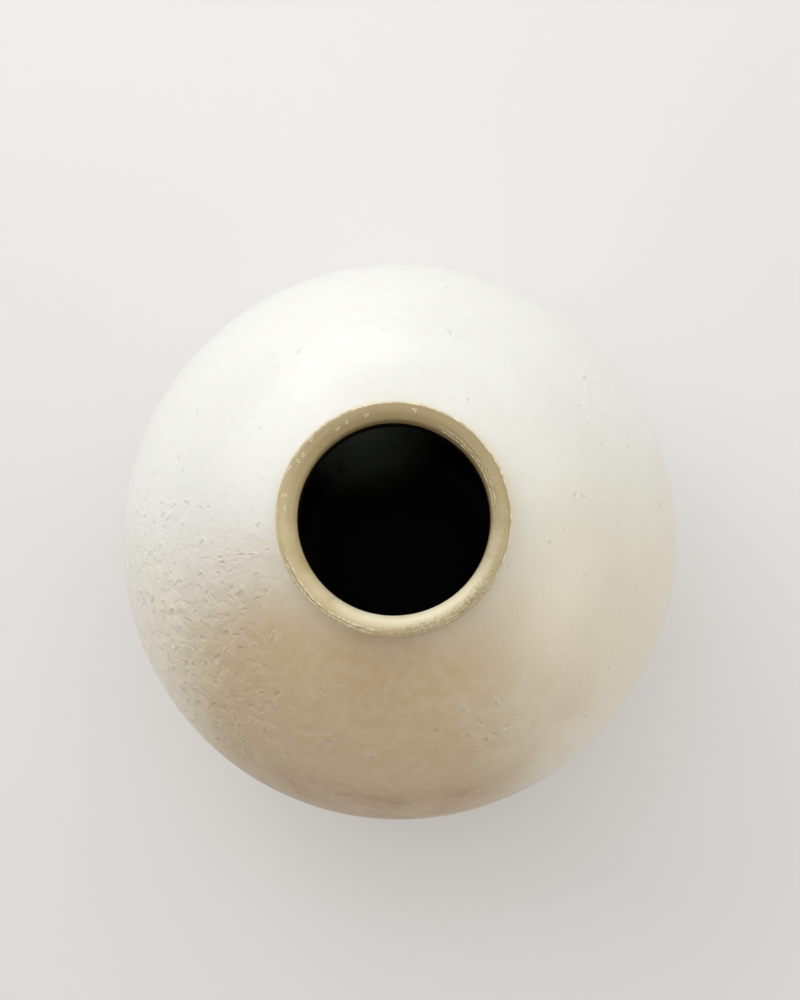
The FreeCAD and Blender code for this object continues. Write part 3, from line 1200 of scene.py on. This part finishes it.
@dataclass
class Bowl:
    """One of the two thrown bowls, with its marks and its inside painted dark as shade."""

    shop: Workshop
    sides: int = 360
    row: float = 2.5 * MM
    inner_row: float = 6 * MM
    cuts: int = 3
    sharp: float = 50
    face_tolerance: float = 0.06 * MM
    lump_size: float = 7 * MM
    lump_depth: float = 0.6 * MM
    lump_span: float = 0.6
    mark_depth: float = 0.43 * MM
    mark_spacing: float = 4 * MM
    marks_per_area: float = 15000
    seed: int = 23
    seam_room: float = 1 * MM
    worn_patches: tuple[tuple[float, float, float, float], ...] = ()
    worn_everywhere: float = 0.03
    bends: tuple[Bend, ...] = field(init=False)

    def outside(self, points: np.ndarray) -> tuple[np.ndarray, np.ndarray, np.ndarray]:
        """Finds the points of the outer face.

        Args:
            points: The mesh's points.

        Returns:
            For each point whether it is one, its true place, and the outward direction there.
        """
        azimuth, across = polar(points)
        found = np.zeros(len(points), bool)
        true = points.copy()
        outward = np.zeros_like(points)
        for bend in self.bends:
            out, up = across - bend.across, points[:, 2] - bend.height
            away = np.hypot(out, up)
            here = (abs(away - bend.radius) < self.face_tolerance) & ~found
            level, climb = out / away, up / away
            radius, height = bend.across + bend.radius * level, bend.height + bend.radius * climb
            true[here] = np.stack([radius * np.cos(azimuth), radius * np.sin(azimuth), height], 1)[here]
            outward[here] = np.stack([level * np.cos(azimuth), level * np.sin(azimuth), climb], 1)[here]
            found |= here
        return found, true, outward

    def worn(self, points: np.ndarray) -> np.ndarray:
        """How worn the glaze is, by patches with an azimuth, a climb and a spread in degrees, and a share.

        Args:
            points: Places on the jar.

        Returns:
            Numbers from zero to one.
        """
        steps = points - np.array([0, 0, self.shop.form.belly_height])
        ways = steps / np.linalg.norm(steps, axis=1)[:, None]
        worn = np.full(len(points), self.worn_everywhere)
        for azimuth, climb, spread, share in self.worn_patches:
            turn, rise = math.radians(azimuth), math.radians(climb)
            middle = (math.cos(rise) * math.cos(turn), math.cos(rise) * math.sin(turn), math.sin(rise))
            apart = np.arccos(np.clip(ways @ np.array(middle), -1, 1))
            worn += share * np.exp(-(apart / math.radians(spread)) ** 2)
        return np.clip(worn, 0, 1)

    def shape(self, piece: bpy.types.Object, marks: Sequence[Spot]) -> None:
        """Presses the marks into the outer face, and lets the wall slump a little.

        Args:
            piece: The turned bowl.
            marks: The listed marks.
        """
        form, mesh = self.shop.form, piece.data
        points = points_of(mesh)
        put_number(mesh, "worn", self.worn(points) * self.outside(points)[0])
        scatter = self.shop.scatter.scatter
        spots = scatter(piece, self.mark_spacing, self.marks_per_area, self.seed, self.mark_depth)
        mesh.attributes.remove(mesh.attributes["worn"])
        seam, room = form.belly_height, self.seam_room
        spots = [spot for spot in spots if abs(spot.centre.z - seam) > spot.reach + room]
        log.info("%s: %d scattered marks and %d placed ones", piece.name, len(spots), len(marks))
        spots.extend(marks)
        refine(mesh, spots, self.cuts)
        outer, true, outward = self.outside(points_of(mesh))
        put_points(mesh, true)
        carve(mesh, spots)
        worn = self.worn(true) * outer
        put_number(mesh, "worn", worn)
        height = true[:, 2]
        waves = np.array([noise.noise(Vector(place)) for place in true / self.lump_size])
        off_seam = abs(height - form.belly_height)
        off_seam = smooth_step(off_seam, self.seam_room, self.seam_room + self.lump_size)
        lumps = self.lump_depth * worn * smooth_step(waves, -self.lump_span, self.lump_span) * off_seam
        depth = np.where(outer, form.slump(polar(true)[0], height) + lumps, 0)
        put_points(mesh, points_of(mesh) - outward * depth[:, None])

    def dress(self, mesh: bpy.types.Mesh) -> None:
        """Gives the inside the liner glaze, whose dark colour is painted shade.

        Args:
            mesh: The bowl's mesh.
        """
        mesh.materials.append(self.shop.finishes.liner)
        steps = rows_of(mesh.polygons, "center") - np.array([0, 0, self.shop.form.belly_height])
        inner = (rows_of(mesh.polygons, "normal") * steps).sum(1) < 0
        mesh.polygons.foreach_set("material_index", inner.astype(np.int32))


@dataclass
class UpperBowl(Bowl):
    """The bowl turned upside down on the first, which is most of what shows from above."""

    mark_spacing: float = 4.4 * MM
    marks_per_area: float = 17000
    seed: int = 7
    worn_everywhere: float = 0.02
    worn_patches: tuple[tuple[float, float, float, float], ...] = (
        (180, 36, 15, 0.32),
        (203, 34, 16, 1),
        (206, 55, 11, 0.6),
        (220, 30, 15, 1),
        (236, 36, 12, 0.6),
        (194, 4, 17, 0.55),
        (-65, 42, 8, 0.8),
        (-30, 30, 20, 0.08),
        (10, 40, 24, 0.1),
        (33, 34, 9, 0.35),
        (90, 10, 30, 0.12),
    )

    def build(self) -> None:
        """Builds and dresses the bowl."""
        form, shoulder = self.shop.form, self.shop.form.shoulder
        self.bends = (shoulder,)
        inner = shoulder.inset(form.wall)
        opening_angle, rim_angle = inner.angle_at(form.opening), inner.angle_at(form.seam_bore)
        rim = form.seam_key.face(form.seam_bore, form.belly_radius, form.seam_above)
        land = form.collar_key.face(form.opening, form.land_edge, form.neck_height)
        profile = shoulder.run(0, shoulder.angle_at(form.land_edge), self.row)
        profile += land[::-1][1:]
        profile += inner.run(opening_angle, rim_angle, self.inner_row)
        profile += straight(inner.at(rim_angle), rim[0], self.inner_row)[1:]
        profile += rim[1:]
        piece = self.shop.wheel.turn("upper_bowl_wall", profile, self.sides, self.shop.finishes.body)
        marks = marks_in(SHOULDER_MARKS)
        self.shape(piece, [mark.spot(shoulder, math.radians(mark.climb)) for mark in marks])
        self.dress(piece.data)
        self.shop.finish(piece, Part.WHITE, self.sharp, "upper_bowl")


@dataclass
class LowerBowl(Bowl):
    """The bowl that stands on the foot."""

    worn_patches: tuple[tuple[float, float, float, float], ...] = (
        (192, -4, 20, 0.6),
        (220, -16, 20, 0.5),
        (-50, -12, 18, 0.4),
        (60, -25, 22, 0.3),
        (120, -40, 18, 0.3),
    )

    def build(self) -> None:
        """Builds and dresses the bowl."""
        form = self.shop.form
        belly, flank, turning = form.belly, form.flank, form.flank_angle
        self.bends = (belly, flank)
        inner_belly, inner_flank = belly.inset(form.wall), flank.inset(form.wall)
        floor = form.foot_seat + form.base_thickness
        fillet_height = floor + form.floor_fillet
        drop = inner_flank.height - fillet_height
        fillet_angle = -math.asin(drop / (inner_flank.radius - form.floor_fillet))
        fillet_middle = inner_flank.inset(form.floor_fillet).at(fillet_angle)[0]
        fillet = Bend(fillet_middle, fillet_height, form.floor_fillet)
        rim = form.seam_key.face(form.seam_bore, form.belly_radius, form.seam_below)
        seat = form.foot_key.face(form.foot_bore, form.flank_end[0], form.foot_seat)
        well_top = Bend(0, form.foot_seat + form.well_rise, 0)
        well = well_top.through((form.foot_bore, form.foot_seat), QUARTER_TURN)
        profile = well.run(QUARTER_TURN, well.angle_at(form.foot_bore), self.inner_row)
        profile += seat[1:]
        profile += flank.run(flank.angle_towards(form.flank_end), turning, self.row)[1:]
        profile += belly.run(turning, 0, self.row)[1:]
        profile += rim[::-1][1:]
        profile += inner_belly.run(-inner_belly.angle_at(form.seam_bore), turning, self.inner_row)
        profile += inner_flank.run(turning, fillet_angle, self.inner_row)[1:]
        profile += fillet.run(fillet_angle, -QUARTER_TURN, self.inner_row)[1:]
        profile += straight(fillet.at(-QUARTER_TURN), (0, floor), self.inner_row)[1:]
        piece = self.shop.wheel.turn("lower_bowl_wall", profile, self.sides, self.shop.finishes.body)
        self.shape(piece, [])
        self.dress(piece.data)
        self.shop.finish(piece, Part.WHITE, self.sharp, "lower_bowl")


@dataclass
class BellySeam:
    """The slip in the belly seam, and the coil pressed over it inside."""

    shop: Workshop
    sides: int = 360
    step: float = 0.4 * MM
    sharp: float = 40
    coil_step: float = 1.5 * MM
    coil_sharp: float = 50
    thumb_marks: int = 46
    thumb_depth: float = 0.35 * MM

    def build(self) -> None:
        """Builds the slip and the coil."""
        form, finishes = self.shop.form, self.shop.finishes
        below = form.seam_key.face(form.seam_bore, form.belly_radius, form.seam_below)
        above = form.seam_key.face(form.seam_bore, form.belly_radius, form.seam_above)
        profile = below[:-1] + straight(below[-1], above[-1], self.step) + above[::-1][1:] + below[:1]
        band = self.shop.wheel.turn("belly_seam_slip", profile, self.sides, finishes.body)
        points = points_of(band.data)
        azimuth, across = polar(points)
        outer = across > form.belly_radius - form.slip / 4
        put_radii(band.data, across - np.where(outer, form.slump(azimuth, points[:, 2]), 0))
        self.shop.finish(band, Part.WHITE, self.sharp, "belly_slip")

        half, depth = form.coil_height / 2, form.coil_depth
        crest_radius = (half ** 2 + depth ** 2) / (2 * depth)
        crest = Bend(form.seam_bore - depth + crest_radius, form.belly_height, crest_radius)
        top = math.pi - math.asin(half / crest_radius)
        low, high = (form.seam_bore, form.belly_height - half), (form.seam_bore, form.belly_height + half)
        profile = straight(low, high, self.coil_step) + crest.run(top, FULL_TURN - top, self.coil_step)[1:]
        coil = self.shop.wheel.turn("belly_coil_inside", profile, self.sides, finishes.liner)
        azimuth, across = polar(points_of(coil.data))
        thumbed = 1 + np.sin(self.thumb_marks * azimuth + 2 * np.sin(azimuth))
        pressed = self.thumb_depth * smooth_step(form.seam_bore - across, 0, depth)
        put_radii(coil.data, across + pressed * thumbed)
        self.shop.finish(coil, Part.INNER, self.coil_sharp, "belly_coil")


@dataclass
class Neck:
    """The collar, the slip under it with its fillet, and the slip over it."""

    shop: Workshop
    sides: int = 288
    step: float = 0.5 * MM
    sharp: float = 40

    def build(self) -> None:
        """Builds the collar and its two beds of slip."""
        form, wheel, finishes = self.shop.form, self.shop.wheel, self.shop.finishes
        face, bore, outer = form.collar_key.face, form.mouth_radius, form.collar_radius
        fillet = Bend(form.land_edge, form.neck_height + form.neck_fillet, form.neck_fillet)
        below = face(form.opening, form.land_edge, form.neck_height)
        curve = fillet.run(-QUARTER_TURN, -math.pi, self.step)
        profile = below[:-1] + curve + face(form.opening, outer, form.collar_foot)[::-1] + below[:1]
        bed = wheel.turn("neck_fillet_slip", profile, self.sides, finishes.pooled)
        self.shop.finish(bed, Part.WHITE, self.sharp, "neck_slip")

        below, above = face(bore, outer, form.collar_foot), face(bore, outer, form.collar_top)
        profile = below[:-1] + straight(below[-1], above[-1], self.step)
        profile += above[::-1][1:-1] + straight(above[0], below[0], self.step)
        collar = wheel.turn("neck_collar_wall", profile, self.sides, finishes.pooled)
        self.line_throat(collar.data)
        self.shop.finish(collar, Part.WHITE, self.sharp, "neck_collar")

        profile = above + face(bore, outer, form.lip_seat)[::-1] + above[:1]
        bed = wheel.turn("lip_bed_slip", profile, self.sides, finishes.lip)
        self.shop.finish(bed, Part.LIP, self.sharp, "lip_slip")

    def line_throat(self, mesh: bpy.types.Mesh) -> None:
        """Gives the collar's inside the lip's glaze.

        Args:
            mesh: The collar's mesh.
        """
        mesh.materials.append(self.shop.finishes.lip)
        centres, facing = rows_of(mesh.polygons, "center"), rows_of(mesh.polygons, "normal")
        inner = (facing * centres)[:, :2].sum(1) < 0
        mesh.polygons.foreach_set("material_index", inner.astype(np.int32))


@dataclass
class MouthLip:
    """The rolled lip, with its turning lines, blisters and broken glaze."""

    shop: Workshop
    sides: int = 900
    step: float = 0.3 * MM
    seat_step: float = 2 * MM
    sharp: float = 50
    face_tolerance: float = 0.02 * MM
    angle_tolerance: float = 0.01
    relief_room: float = 0.16 * MM
    top_room: float = 0.02 * MM
    line_depth: float = 0.03 * MM
    line_pitch: float = 0.95 * MM
    sway_depth: float = 0.05 * MM
    swell_depth: float = 0.75 * MM
    swell_azimuth: float = math.radians(118)
    swell_start: float = 7 * MM
    swell_full: float = 11 * MM
    ridge_fade: float = 6
    ridge_shading: float = 0.3 * MM

    def build(self) -> None:
        """Builds and dresses the lip."""
        form = self.shop.form
        seat = form.collar_key.face(form.mouth_radius, form.collar_radius, form.lip_seat)
        profile = seat[:-1] + straight(seat[-1], form.lip_outside.at(form.lip_under), self.step)
        profile += form.lip_outside.run(form.lip_under, form.lip_leaving, self.step)[1:]
        profile += form.lip_slope.run(form.lip_leaving, form.lip_slope_end, self.step)[1:]
        profile += straight(profile[-1], seat[0], self.seat_step)[1:]
        piece = self.shop.wheel.turn("rolled_lip", profile, self.sides, self.shop.finishes.lip)
        ridges = self.score(piece.data)
        spots = [mark.spot(*form.lip_place(mark.climb * MM)) for mark in marks_in(LIP_MARKS)]
        self.press(piece.data, spots, ridges / self.ridge_shading)
        self.shop.finish(piece, Part.LIP, self.sharp, "mouth_lip")

    def score(self, mesh: bpy.types.Mesh) -> np.ndarray:
        """Turns fine lines into the lip, and breaks the glaze along its outer edge.

        Args:
            mesh: The lip's mesh.

        Returns:
            How high the broken ridges rise at each point, below zero in the grooves.
        """
        form = self.shop.form
        points = points_of(mesh)
        azimuth, across = polar(points)
        arc, level, climb = (np.zeros(len(points)) for _ in range(3))
        shown = np.zeros(len(points), bool)
        stretches = (
            (form.lip_slope, form.lip_leaving, form.lip_slope_end, 0),
            (form.lip_outside, form.lip_under, form.lip_leaving, form.lip_slope_arc),
        )
        for bend, low, high, start in stretches:
            out, up = across - bend.across, points[:, 2] - bend.height
            away, angle = np.hypot(out, up), np.arctan2(up, out)
            within = (angle > low - self.angle_tolerance) & (angle < high + self.angle_tolerance)
            here = (abs(away - bend.radius) < self.face_tolerance) & within & ~shown
            arc[here] = start + bend.radius * (high - angle[here])
            level[here], climb[here] = (out / away)[here], (up / away)[here]
            shown |= here
        lines = self.line_depth * np.sin(FULL_TURN * arc / self.line_pitch + 0.8 * np.sin(azimuth * 2))
        sway = self.sway_depth * (np.sin(3 * azimuth + 0.4) + np.sin(5 * azimuth + 2))
        ridges = np.zeros(len(points))
        for start, end, line, lift, width in EDGE_LINES:
            turn, span = (np.degrees(azimuth) - start) % 360, end - start
            sector = smooth_step(turn, 0, self.ridge_fade)
            sector = sector * (1 - smooth_step(turn, span - self.ridge_fade, span))
            # Each ridge wanders a little, and is chipped along its length.
            wander = line + 0.2 * np.sin(azimuth * 9 + line) + 0.12 * np.sin(azimuth * 31)
            chipped = 0.6 + 0.4 * np.sin(azimuth * 83 + 3 * np.sin(azimuth * 17 + line))
            ridges += lift * MM * sector * chipped * np.exp(-((arc / MM - wander) / width) ** 2)
        swelling = 0.5 + 0.5 * np.cos(azimuth - self.swell_azimuth)
        swell = self.swell_depth * swelling * smooth_step(arc, self.swell_start, self.swell_full)
        depth = np.where(shown, self.relief_room - lines - sway - ridges - swell, 0)
        radius, height = across - level * depth, points[:, 2] - climb * depth
        put_points(mesh, np.stack([radius * np.cos(azimuth), radius * np.sin(azimuth), height], 1))
        return np.where(shown, ridges, 0)

    def press(self, mesh: bpy.types.Mesh, spots: Sequence[Spot], edge_shade: np.ndarray) -> None:
        """Presses the blisters and chips into the lip, and stores painted shade and highlight for them and
        for its broken edge.

        Args:
            mesh: The lip's mesh.
            spots: The marks.
            edge_shade: How much painted highlight each point of the edge gets, with painted shade where it is
                below zero.
        """
        carve(mesh, spots)
        bead = self.shop.form.bead
        points = points_of(mesh)
        points[:, 2] = np.minimum(points[:, 2], bead.height + bead.radius - self.top_room)
        put_points(mesh, points)
        put_number(mesh, "crest", np.clip(number_of(mesh, "crest") + edge_shade, 0, 1))
        put_number(mesh, "hollow", np.clip(number_of(mesh, "hollow") - np.minimum(edge_shade, 0), 0, 1))


@dataclass
class Foot:
    """The foot ring, turned on the wheel and left bare, and the slip that holds it."""

    shop: Workshop
    sides: int = 360
    step: float = 0.7 * MM
    sharp: float = 32
    slip_sharp: float = 40
    groove_depth: float = 0.12 * MM
    groove_pitch: float = 1.9 * MM
    nick_depth: float = 0.35 * MM
    nick_start: float = 0.86
    nick_rise: float = 5

    def build(self) -> None:
        """Builds the ring and its bed of slip."""
        form = self.shop.form
        top = form.foot_key.face(form.foot_bore, form.foot_radius, form.foot_height)
        inner = form.foot_bore + form.foot_inner_slant
        corners = [
            top[0],
            (inner, form.foot_inner_bevel),
            (inner + form.foot_inner_bevel, 0),
            (form.foot_radius - form.foot_outer_bevel, 0),
            (form.foot_radius, form.foot_outer_bevel),
            top[-1],
        ]
        profile = corners[:1]
        for start, end in zip(corners, corners[1:]):
            profile += straight(start, end, self.step)[1:]
        profile += top[::-1][1:]
        ring = self.shop.wheel.turn("foot_ring_bare", profile, self.sides, self.shop.finishes.clay)
        self.wear(ring.data)
        self.shop.finish(ring, Part.CLAY, self.sharp, "foot_ring")

        fillet = Bend(form.flank_end[0], form.foot_seat - form.foot_fillet, form.foot_fillet)
        above = form.foot_key.face(form.foot_bore, form.flank_end[0], form.foot_seat)
        profile = top + fillet.run(math.pi, QUARTER_TURN, self.step) + above[::-1][1:] + top[:1]
        bed = self.shop.wheel.turn("foot_fillet_slip", profile, self.sides, self.shop.finishes.pooled)
        self.shop.finish(bed, Part.WHITE, self.slip_sharp, "foot_slip")

    def wear(self, mesh: bpy.types.Mesh) -> None:
        """Cuts the turning tool's grooves and a few nicks into the ring.

        Args:
            mesh: The ring's mesh.
        """
        form, points = self.shop.form, points_of(mesh)
        azimuth, height = polar(points)[0], points[:, 2]
        shown = (height < form.foot_height - self.step / 2) & (height > self.step / 4)
        grooves = 1 + np.sin(FULL_TURN * height / self.groove_pitch + azimuth)
        wave = np.sin(azimuth * 23 + 4 * np.sin(azimuth * 5))
        nicks = np.clip(wave - self.nick_start, 0, 1) * self.nick_rise
        edge = 1 - smooth_step(height, 0, form.foot_outer_bevel * 2)
        depth = np.where(shown, self.groove_depth * grooves + self.nick_depth * nicks * edge, 0)
        put_points(mesh, points - normals_of(mesh) * depth[:, None])


# Marks in the glaze: each has its azimuth, its climb and its turn in degrees, and its sizes in millimetres.
# The order is azimuth, climb, length, width, turn and depth, which is left out where it is half a millimetre.

SHOULDER_MARKS: MarkTable = {
    Relief.GASH: (
        (178, 45, 6.6, 2.8, 120, 0.42), (181, 35, 5.9, 2.0, 90, 0.2), (186, 37, 6.7, 2.4, 84, 0.2),
        (171, 35, 6.3, 2.3, 90, 0.2), (167, 36, 5.4, 2.1, 102, 0.2), (167, 27, 4.7, 3.0, 129, 0.2),
        (193, 60, 5.4, 1.7, 61, 0.56), (192, 65, 4.8, 1.8, 87), (201, 67, 5.5, 1.9, 110, 0.34),
        (209, 65, 4.2, 1.5, 89), (210, 61, 5.4, 1.7, 80, 0.56), (194, 29, 6.9, 3.0, 132, 0.56),
        (196, 35, 6.7, 2.6, 119, 0.56), (204, 45, 6.8, 2.8, 49, 0.56), (211, 43, 5.3, 2.5, 31, 0.56),
        (215, 56, 4.9, 1.8, 51, 0.56), (218, 51, 4.6, 2.3, 4, 0.56), (217, 29, 6.0, 3.4, -16, 0.56),
        (220, 27, 4.9, 3.4, 1, 0.56), (224, 36, 5.4, 3.0, 31, 0.56), (251, 62, 5.8, 1.5, 32, 0.36),
        (269, 67, 6.4, 1.3, 1, 0.18), (283, 67, 6.4, 1.3, -9, 0.18), (253, 47, 4.5, 2.0, 24),
        (264, 45, 4.4, 2.1, 17), (281, 52, 4.8, 2.2, 25), (88, 26, 3.1, 2.4, 7),
        (174, 42, 6.7, 1.8, 98, 0.2), (175, 46, 6.3, 1.8, 78, 0.2), (174, 51, 5.9, 1.7, 106, 0.2),
        (175, 55, 5.6, 1.7, 80, 0.2), (299, 46, 4.7, 2.1, 1), (289, 48, 5.6, 1.7, -50),
        (293, 45, 5.2, 1.8, 49), (213, 37, 6.0, 2.6, 80, 0.6), (230, 38, 5.4, 2.4, -30, 0.55),
        (203, 29, 6.0, 2.8, 110, 0.6),
    ),
    Relief.PIT: (
        (180, 50, 2.7, 2.8, 87, 0.2), (246, 59, 2.4, 2.4, 28), (234, 46, 3.2, 3.2, 47),
    ),
    Relief.CRESCENT: (
        (193, 67, 4.2, 2.7, 77), (205, 62, 6.9, 5.1, 140, 0.56), (201, 41, 8.0, 5.1, 91, 0.56),
        (216, 47, 5.3, 4.5, 35, 0.56), (224, 62, 6.4, 3.8, 102, 0.56), (220, 37, 7.3, 5.3, 21, 0.56),
        (290, 55, 4.6, 4.1, 0), (293, 51, 6.4, 3.5, -61), (299, 53, 4.5, 3.4, 39),
        (207, 36, 7.2, 4.8, 60, 0.6), (210, 31, 6.6, 4.4, -20, 0.6), (227, 31, 6.6, 4.2, 30, 0.6),
        (234, 30, 6.0, 4.0, 70, 0.55),
    ),
}

# Here the distance in millimetres from the mouth's edge, over the lip, stands in place of the climb.
LIP_MARKS: MarkTable = {
    Relief.BLISTER: (
        (105, 6.8, 1.6, 1.6, 0, 0.14), (116, 7.1, 1.4, 1.4, 0, 0.14), (122, 6.2, 1.7, 1.5, 0, 0.13),
        (136, 10.1, 1.7, 1.6, 0, 0.14), (145, 8.4, 1.6, 1.4, 0, 0.14), (149, 9.1, 1.4, 1.4, 0, 0.14),
        (154, 10.7, 1.6, 1.4, 0, 0.14), (168, 9.1, 1.9, 1.4, 90, 0.13), (175, 7.8, 1.6, 1.3, 0, 0.12),
        (79, 8.5, 1.7, 1.6, 0, 0.14), (300, 9.7, 1.3, 1.2, 0, 0.13),
    ),
    Relief.PIT: (
        (128, 9.4, 1.2, 1.2, 0, 0.16), (98, 9.4, 1.1, 1.1, 0, 0.16), (252, 10.4, 1.8, 1.5, 0, 0.25),
        (296, 10.4, 1.4, 1.4, 0, 0.22), (313, 9.4, 1.3, 1.3, 0, 0.2), (12, 6.4, 1.2, 1.0, 0, 0.16),
        (52, 10.0, 1.4, 1.2, 0, 0.18),
    ),
    Relief.GASH: (
        (222, 10.0, 3.4, 1.4, 20, 0.3), (226, 10.6, 2.8, 1.3, -30, 0.28), (289, 8.9, 2.4, 1.2, 40, 0.22),
        (306, 10.9, 3.0, 1.3, -20, 0.26), (322, 11.4, 2.6, 1.2, 10, 0.25),
    ),
    Relief.CRESCENT: (
        (249, 10.9, 2.6, 2.2, 90, 0.15),
    ),
}

# Fine broken ridges round the lip, and grooves where the height is below zero. The order is the first and the
# last azimuth in degrees, then the distance from the mouth's edge, the height and the width in millimetres.
EDGE_LINES = (
    (196, 266, 9.4, 0.34, 0.3), (197, 264, 10.2, -0.2, 0.3), (200, 262, 11.0, 0.36, 0.3),
    (202, 258, 11.7, -0.16, 0.3), (262, 330, 10.1, 0.18, 0.26), (266, 322, 10.9, -0.14, 0.26),
    (280, 345, 11.8, 0.18, 0.26), (2, 64, 3.0, 0.24, 0.32), (0, 62, 3.8, -0.24, 0.3),
    (5, 66, 4.5, 0.24, 0.32), (14, 54, 6.2, 0.12, 0.3), (10, 60, 5.3, -0.16, 0.3),
    (340, 405, 12.4, 0.14, 0.22), (330, 370, 9.5, 0.1, 0.3), (60, 150, 12.1, 0.08, 0.3),
    (268, 318, 3.4, 0.1, 0.3), (272, 325, 4.8, 0.1, 0.3),
)


# Studio


@dataclass(frozen=True)
class Lamp:
    """A soft area lamp: its name, its place, its width and height, its power in watts and its colour."""

    name: str
    place: Corner
    size: Place
    power: float
    colour: Corner

    def hang(self, target: Corner) -> None:
        """Hangs the lamp.

        Args:
            target: The place that it faces.
        """
        data = bpy.data.lights.new(self.name, "AREA")
        data.shape = "RECTANGLE"
        data.size, data.size_y = self.size
        data.energy = self.power
        data.color = self.colour
        lamp = bpy.data.objects.new(self.name, data)
        lamp.location = self.place
        lamp.rotation_euler = (Vector(target) - Vector(self.place)).to_track_quat("-Z", "Y").to_euler()
        lamp.visible_camera = False
        bpy.context.scene.collection.objects.link(lamp)


@dataclass
class Studio:
    """The floor, the lamps, the sky and the camera."""

    form: JarForm
    lens: float = 50.0
    camera_place: Corner = (12.6 * MM, -49 * MM, 901.2 * MM)
    camera_target: Corner = (0.5 * MM, 21.6 * MM, 142 * MM)
    clip_start: float = 0.01
    clip_end: float = 50.0
    floor_radius: float = 9.0
    floor_sides: int = 128
    floor_colour: Colour = glaze_colour(235, 234, 233)
    floor_clouds: Colour = glaze_colour(238, 236, 234)
    cloud_size: float = 0.5
    fade_start: float = 0.6
    fade_end: float = 1.3
    far_colour: Colour = glaze_colour(233, 233, 231)
    sky_colour: Colour = (0.99, 0.985, 0.975, 1.0)
    sky_strength: float = 0.452
    window_azimuth: float = math.radians(107)
    window_distance: float = 1.6
    window_height: float = 0.6

    def build(self) -> None:
        """Sets the studio up round the jar."""
        bpy.context.scene.view_settings.view_transform = "Standard"
        self.lay_floor()
        self.light_sky()
        far, azimuth = self.window_distance, self.window_azimuth
        window = (far * math.cos(azimuth), far * math.sin(azimuth), self.window_height)
        lamps = (
            Lamp("window", window, (1.05, 0.9), 3.8, (0.97, 0.985, 1.0)),
            Lamp("overhead", (-0.1, 0.55, 2.4), (2.8, 2.4), 17.8, (0.965, 0.985, 1.0)),
            Lamp("left", (-1.15, 1.0, 1.2), (1.5, 1.3), 8.5, (0.99, 0.99, 1.0)),
            Lamp("back", (0.3, 2.2, 0.8), (2.6, 0.8), 4.7, (0.97, 0.985, 1.0)),
            Lamp("high_right", (1.5, 0.9, 1.4), (1.4, 1.2), 3.4, (0.98, 0.99, 1.0)),
            Lamp("low_right", (1.7, -0.7, 0.9), (1.4, 1.0), 4.7, (1.0, 0.95, 0.87)),
            Lamp("low_left", (-1.7, -0.35, 0.9), (1.2, 1.0), 1.0, (1.0, 0.99, 0.97)),
        )
        for lamp in lamps:
            lamp.hang((0, 0, self.form.belly_height))
        self.place_camera()

    def lay_floor(self) -> None:
        """Lays a pale floor that fades into the backdrop far from the jar."""
        coat = Jacket("floor", self.floor_colour)
        coat.lay(self.floor_clouds, coat.noise(self.cloud_size).clipped())
        far = coat.from_axis().step(self.fade_start, self.fade_end)
        matte = coat.node("ShaderNodeBsdfDiffuse", {}, {"Color": coat.colour})
        glow = coat.node("ShaderNodeEmission", {}, {"Color": self.far_colour, "Strength": 1})
        seen = coat.node("ShaderNodeLightPath", {}, {}, "Is Camera Ray")
        blend = coat.node("ShaderNodeMixShader", {}, {0: far * seen, 1: matte, 2: glow})
        coat.node("ShaderNodeOutputMaterial", {}, {"Surface": blend})
        shape = bmesh.new()
        bmesh.ops.create_circle(shape, cap_ends=True, segments=self.floor_sides, radius=self.floor_radius)
        mesh = bpy.data.meshes.new("floor")
        shape.to_mesh(mesh)
        shape.free()
        mesh.materials.append(coat.material)
        floor = bpy.data.objects.new("floor", mesh)
        bpy.context.scene.collection.objects.link(floor)

    def light_sky(self) -> None:
        """Lights the jar evenly from all round, and shows the backdrop's colour to the camera."""
        world = bpy.data.worlds.new("studio_sky")
        world.use_nodes = True
        bpy.context.scene.world = world
        bench = Bench(world.node_tree)
        seen = bench.node("ShaderNodeLightPath", {}, {}, "Is Camera Ray")
        sky = {"Color": self.sky_colour, "Strength": self.sky_strength}
        ambient = bench.node("ShaderNodeBackground", {}, sky)
        backdrop = bench.node("ShaderNodeBackground", {}, {"Color": self.far_colour, "Strength": 1})
        mixed = bench.node("ShaderNodeMixShader", {}, {0: seen, 1: ambient, 2: backdrop})
        bench.node("ShaderNodeOutputWorld", {}, {"Surface": mixed})

    def place_camera(self) -> None:
        """Places the camera over the jar, with +Y up in the picture."""
        data = bpy.data.cameras.new("camera")
        data.lens = self.lens
        data.clip_start, data.clip_end = self.clip_start, self.clip_end
        camera = bpy.data.objects.new("camera", data)
        place = Vector(self.camera_place)
        back = (place - Vector(self.camera_target)).normalized()
        right = Vector((0, 1, 0)).cross(back).normalized()
        turn = Matrix((right, back.cross(right), back)).transposed().to_4x4()
        camera.matrix_world = Matrix.Translation(place) @ turn
        bpy.context.scene.collection.objects.link(camera)
        bpy.context.scene.camera = camera


def main() -> None:
    """Builds the jar and the studio round it."""
    logging.basicConfig(level=logging.INFO, format="%(name)s: %(message)s")
    form = JarForm()
    finishes = Finishes(
        body=BodyGlaze().make(form),
        lip=LipGlaze().make(form),
        liner=ShadedLiner().make(form),
        clay=BareClay().make(form),
        pooled=PooledGlaze().make(form),
    )
    shop = Workshop(form, finishes, TurnedTree(), ScatterTree())
    Studio(form).build()
    for assembly in (Foot, LowerBowl, BellySeam, UpperBowl, Neck, MouthLip):
        assembly(shop).build()
        log.info("%s is built", assembly.__name__)


if __name__ == "__main__":
    main()
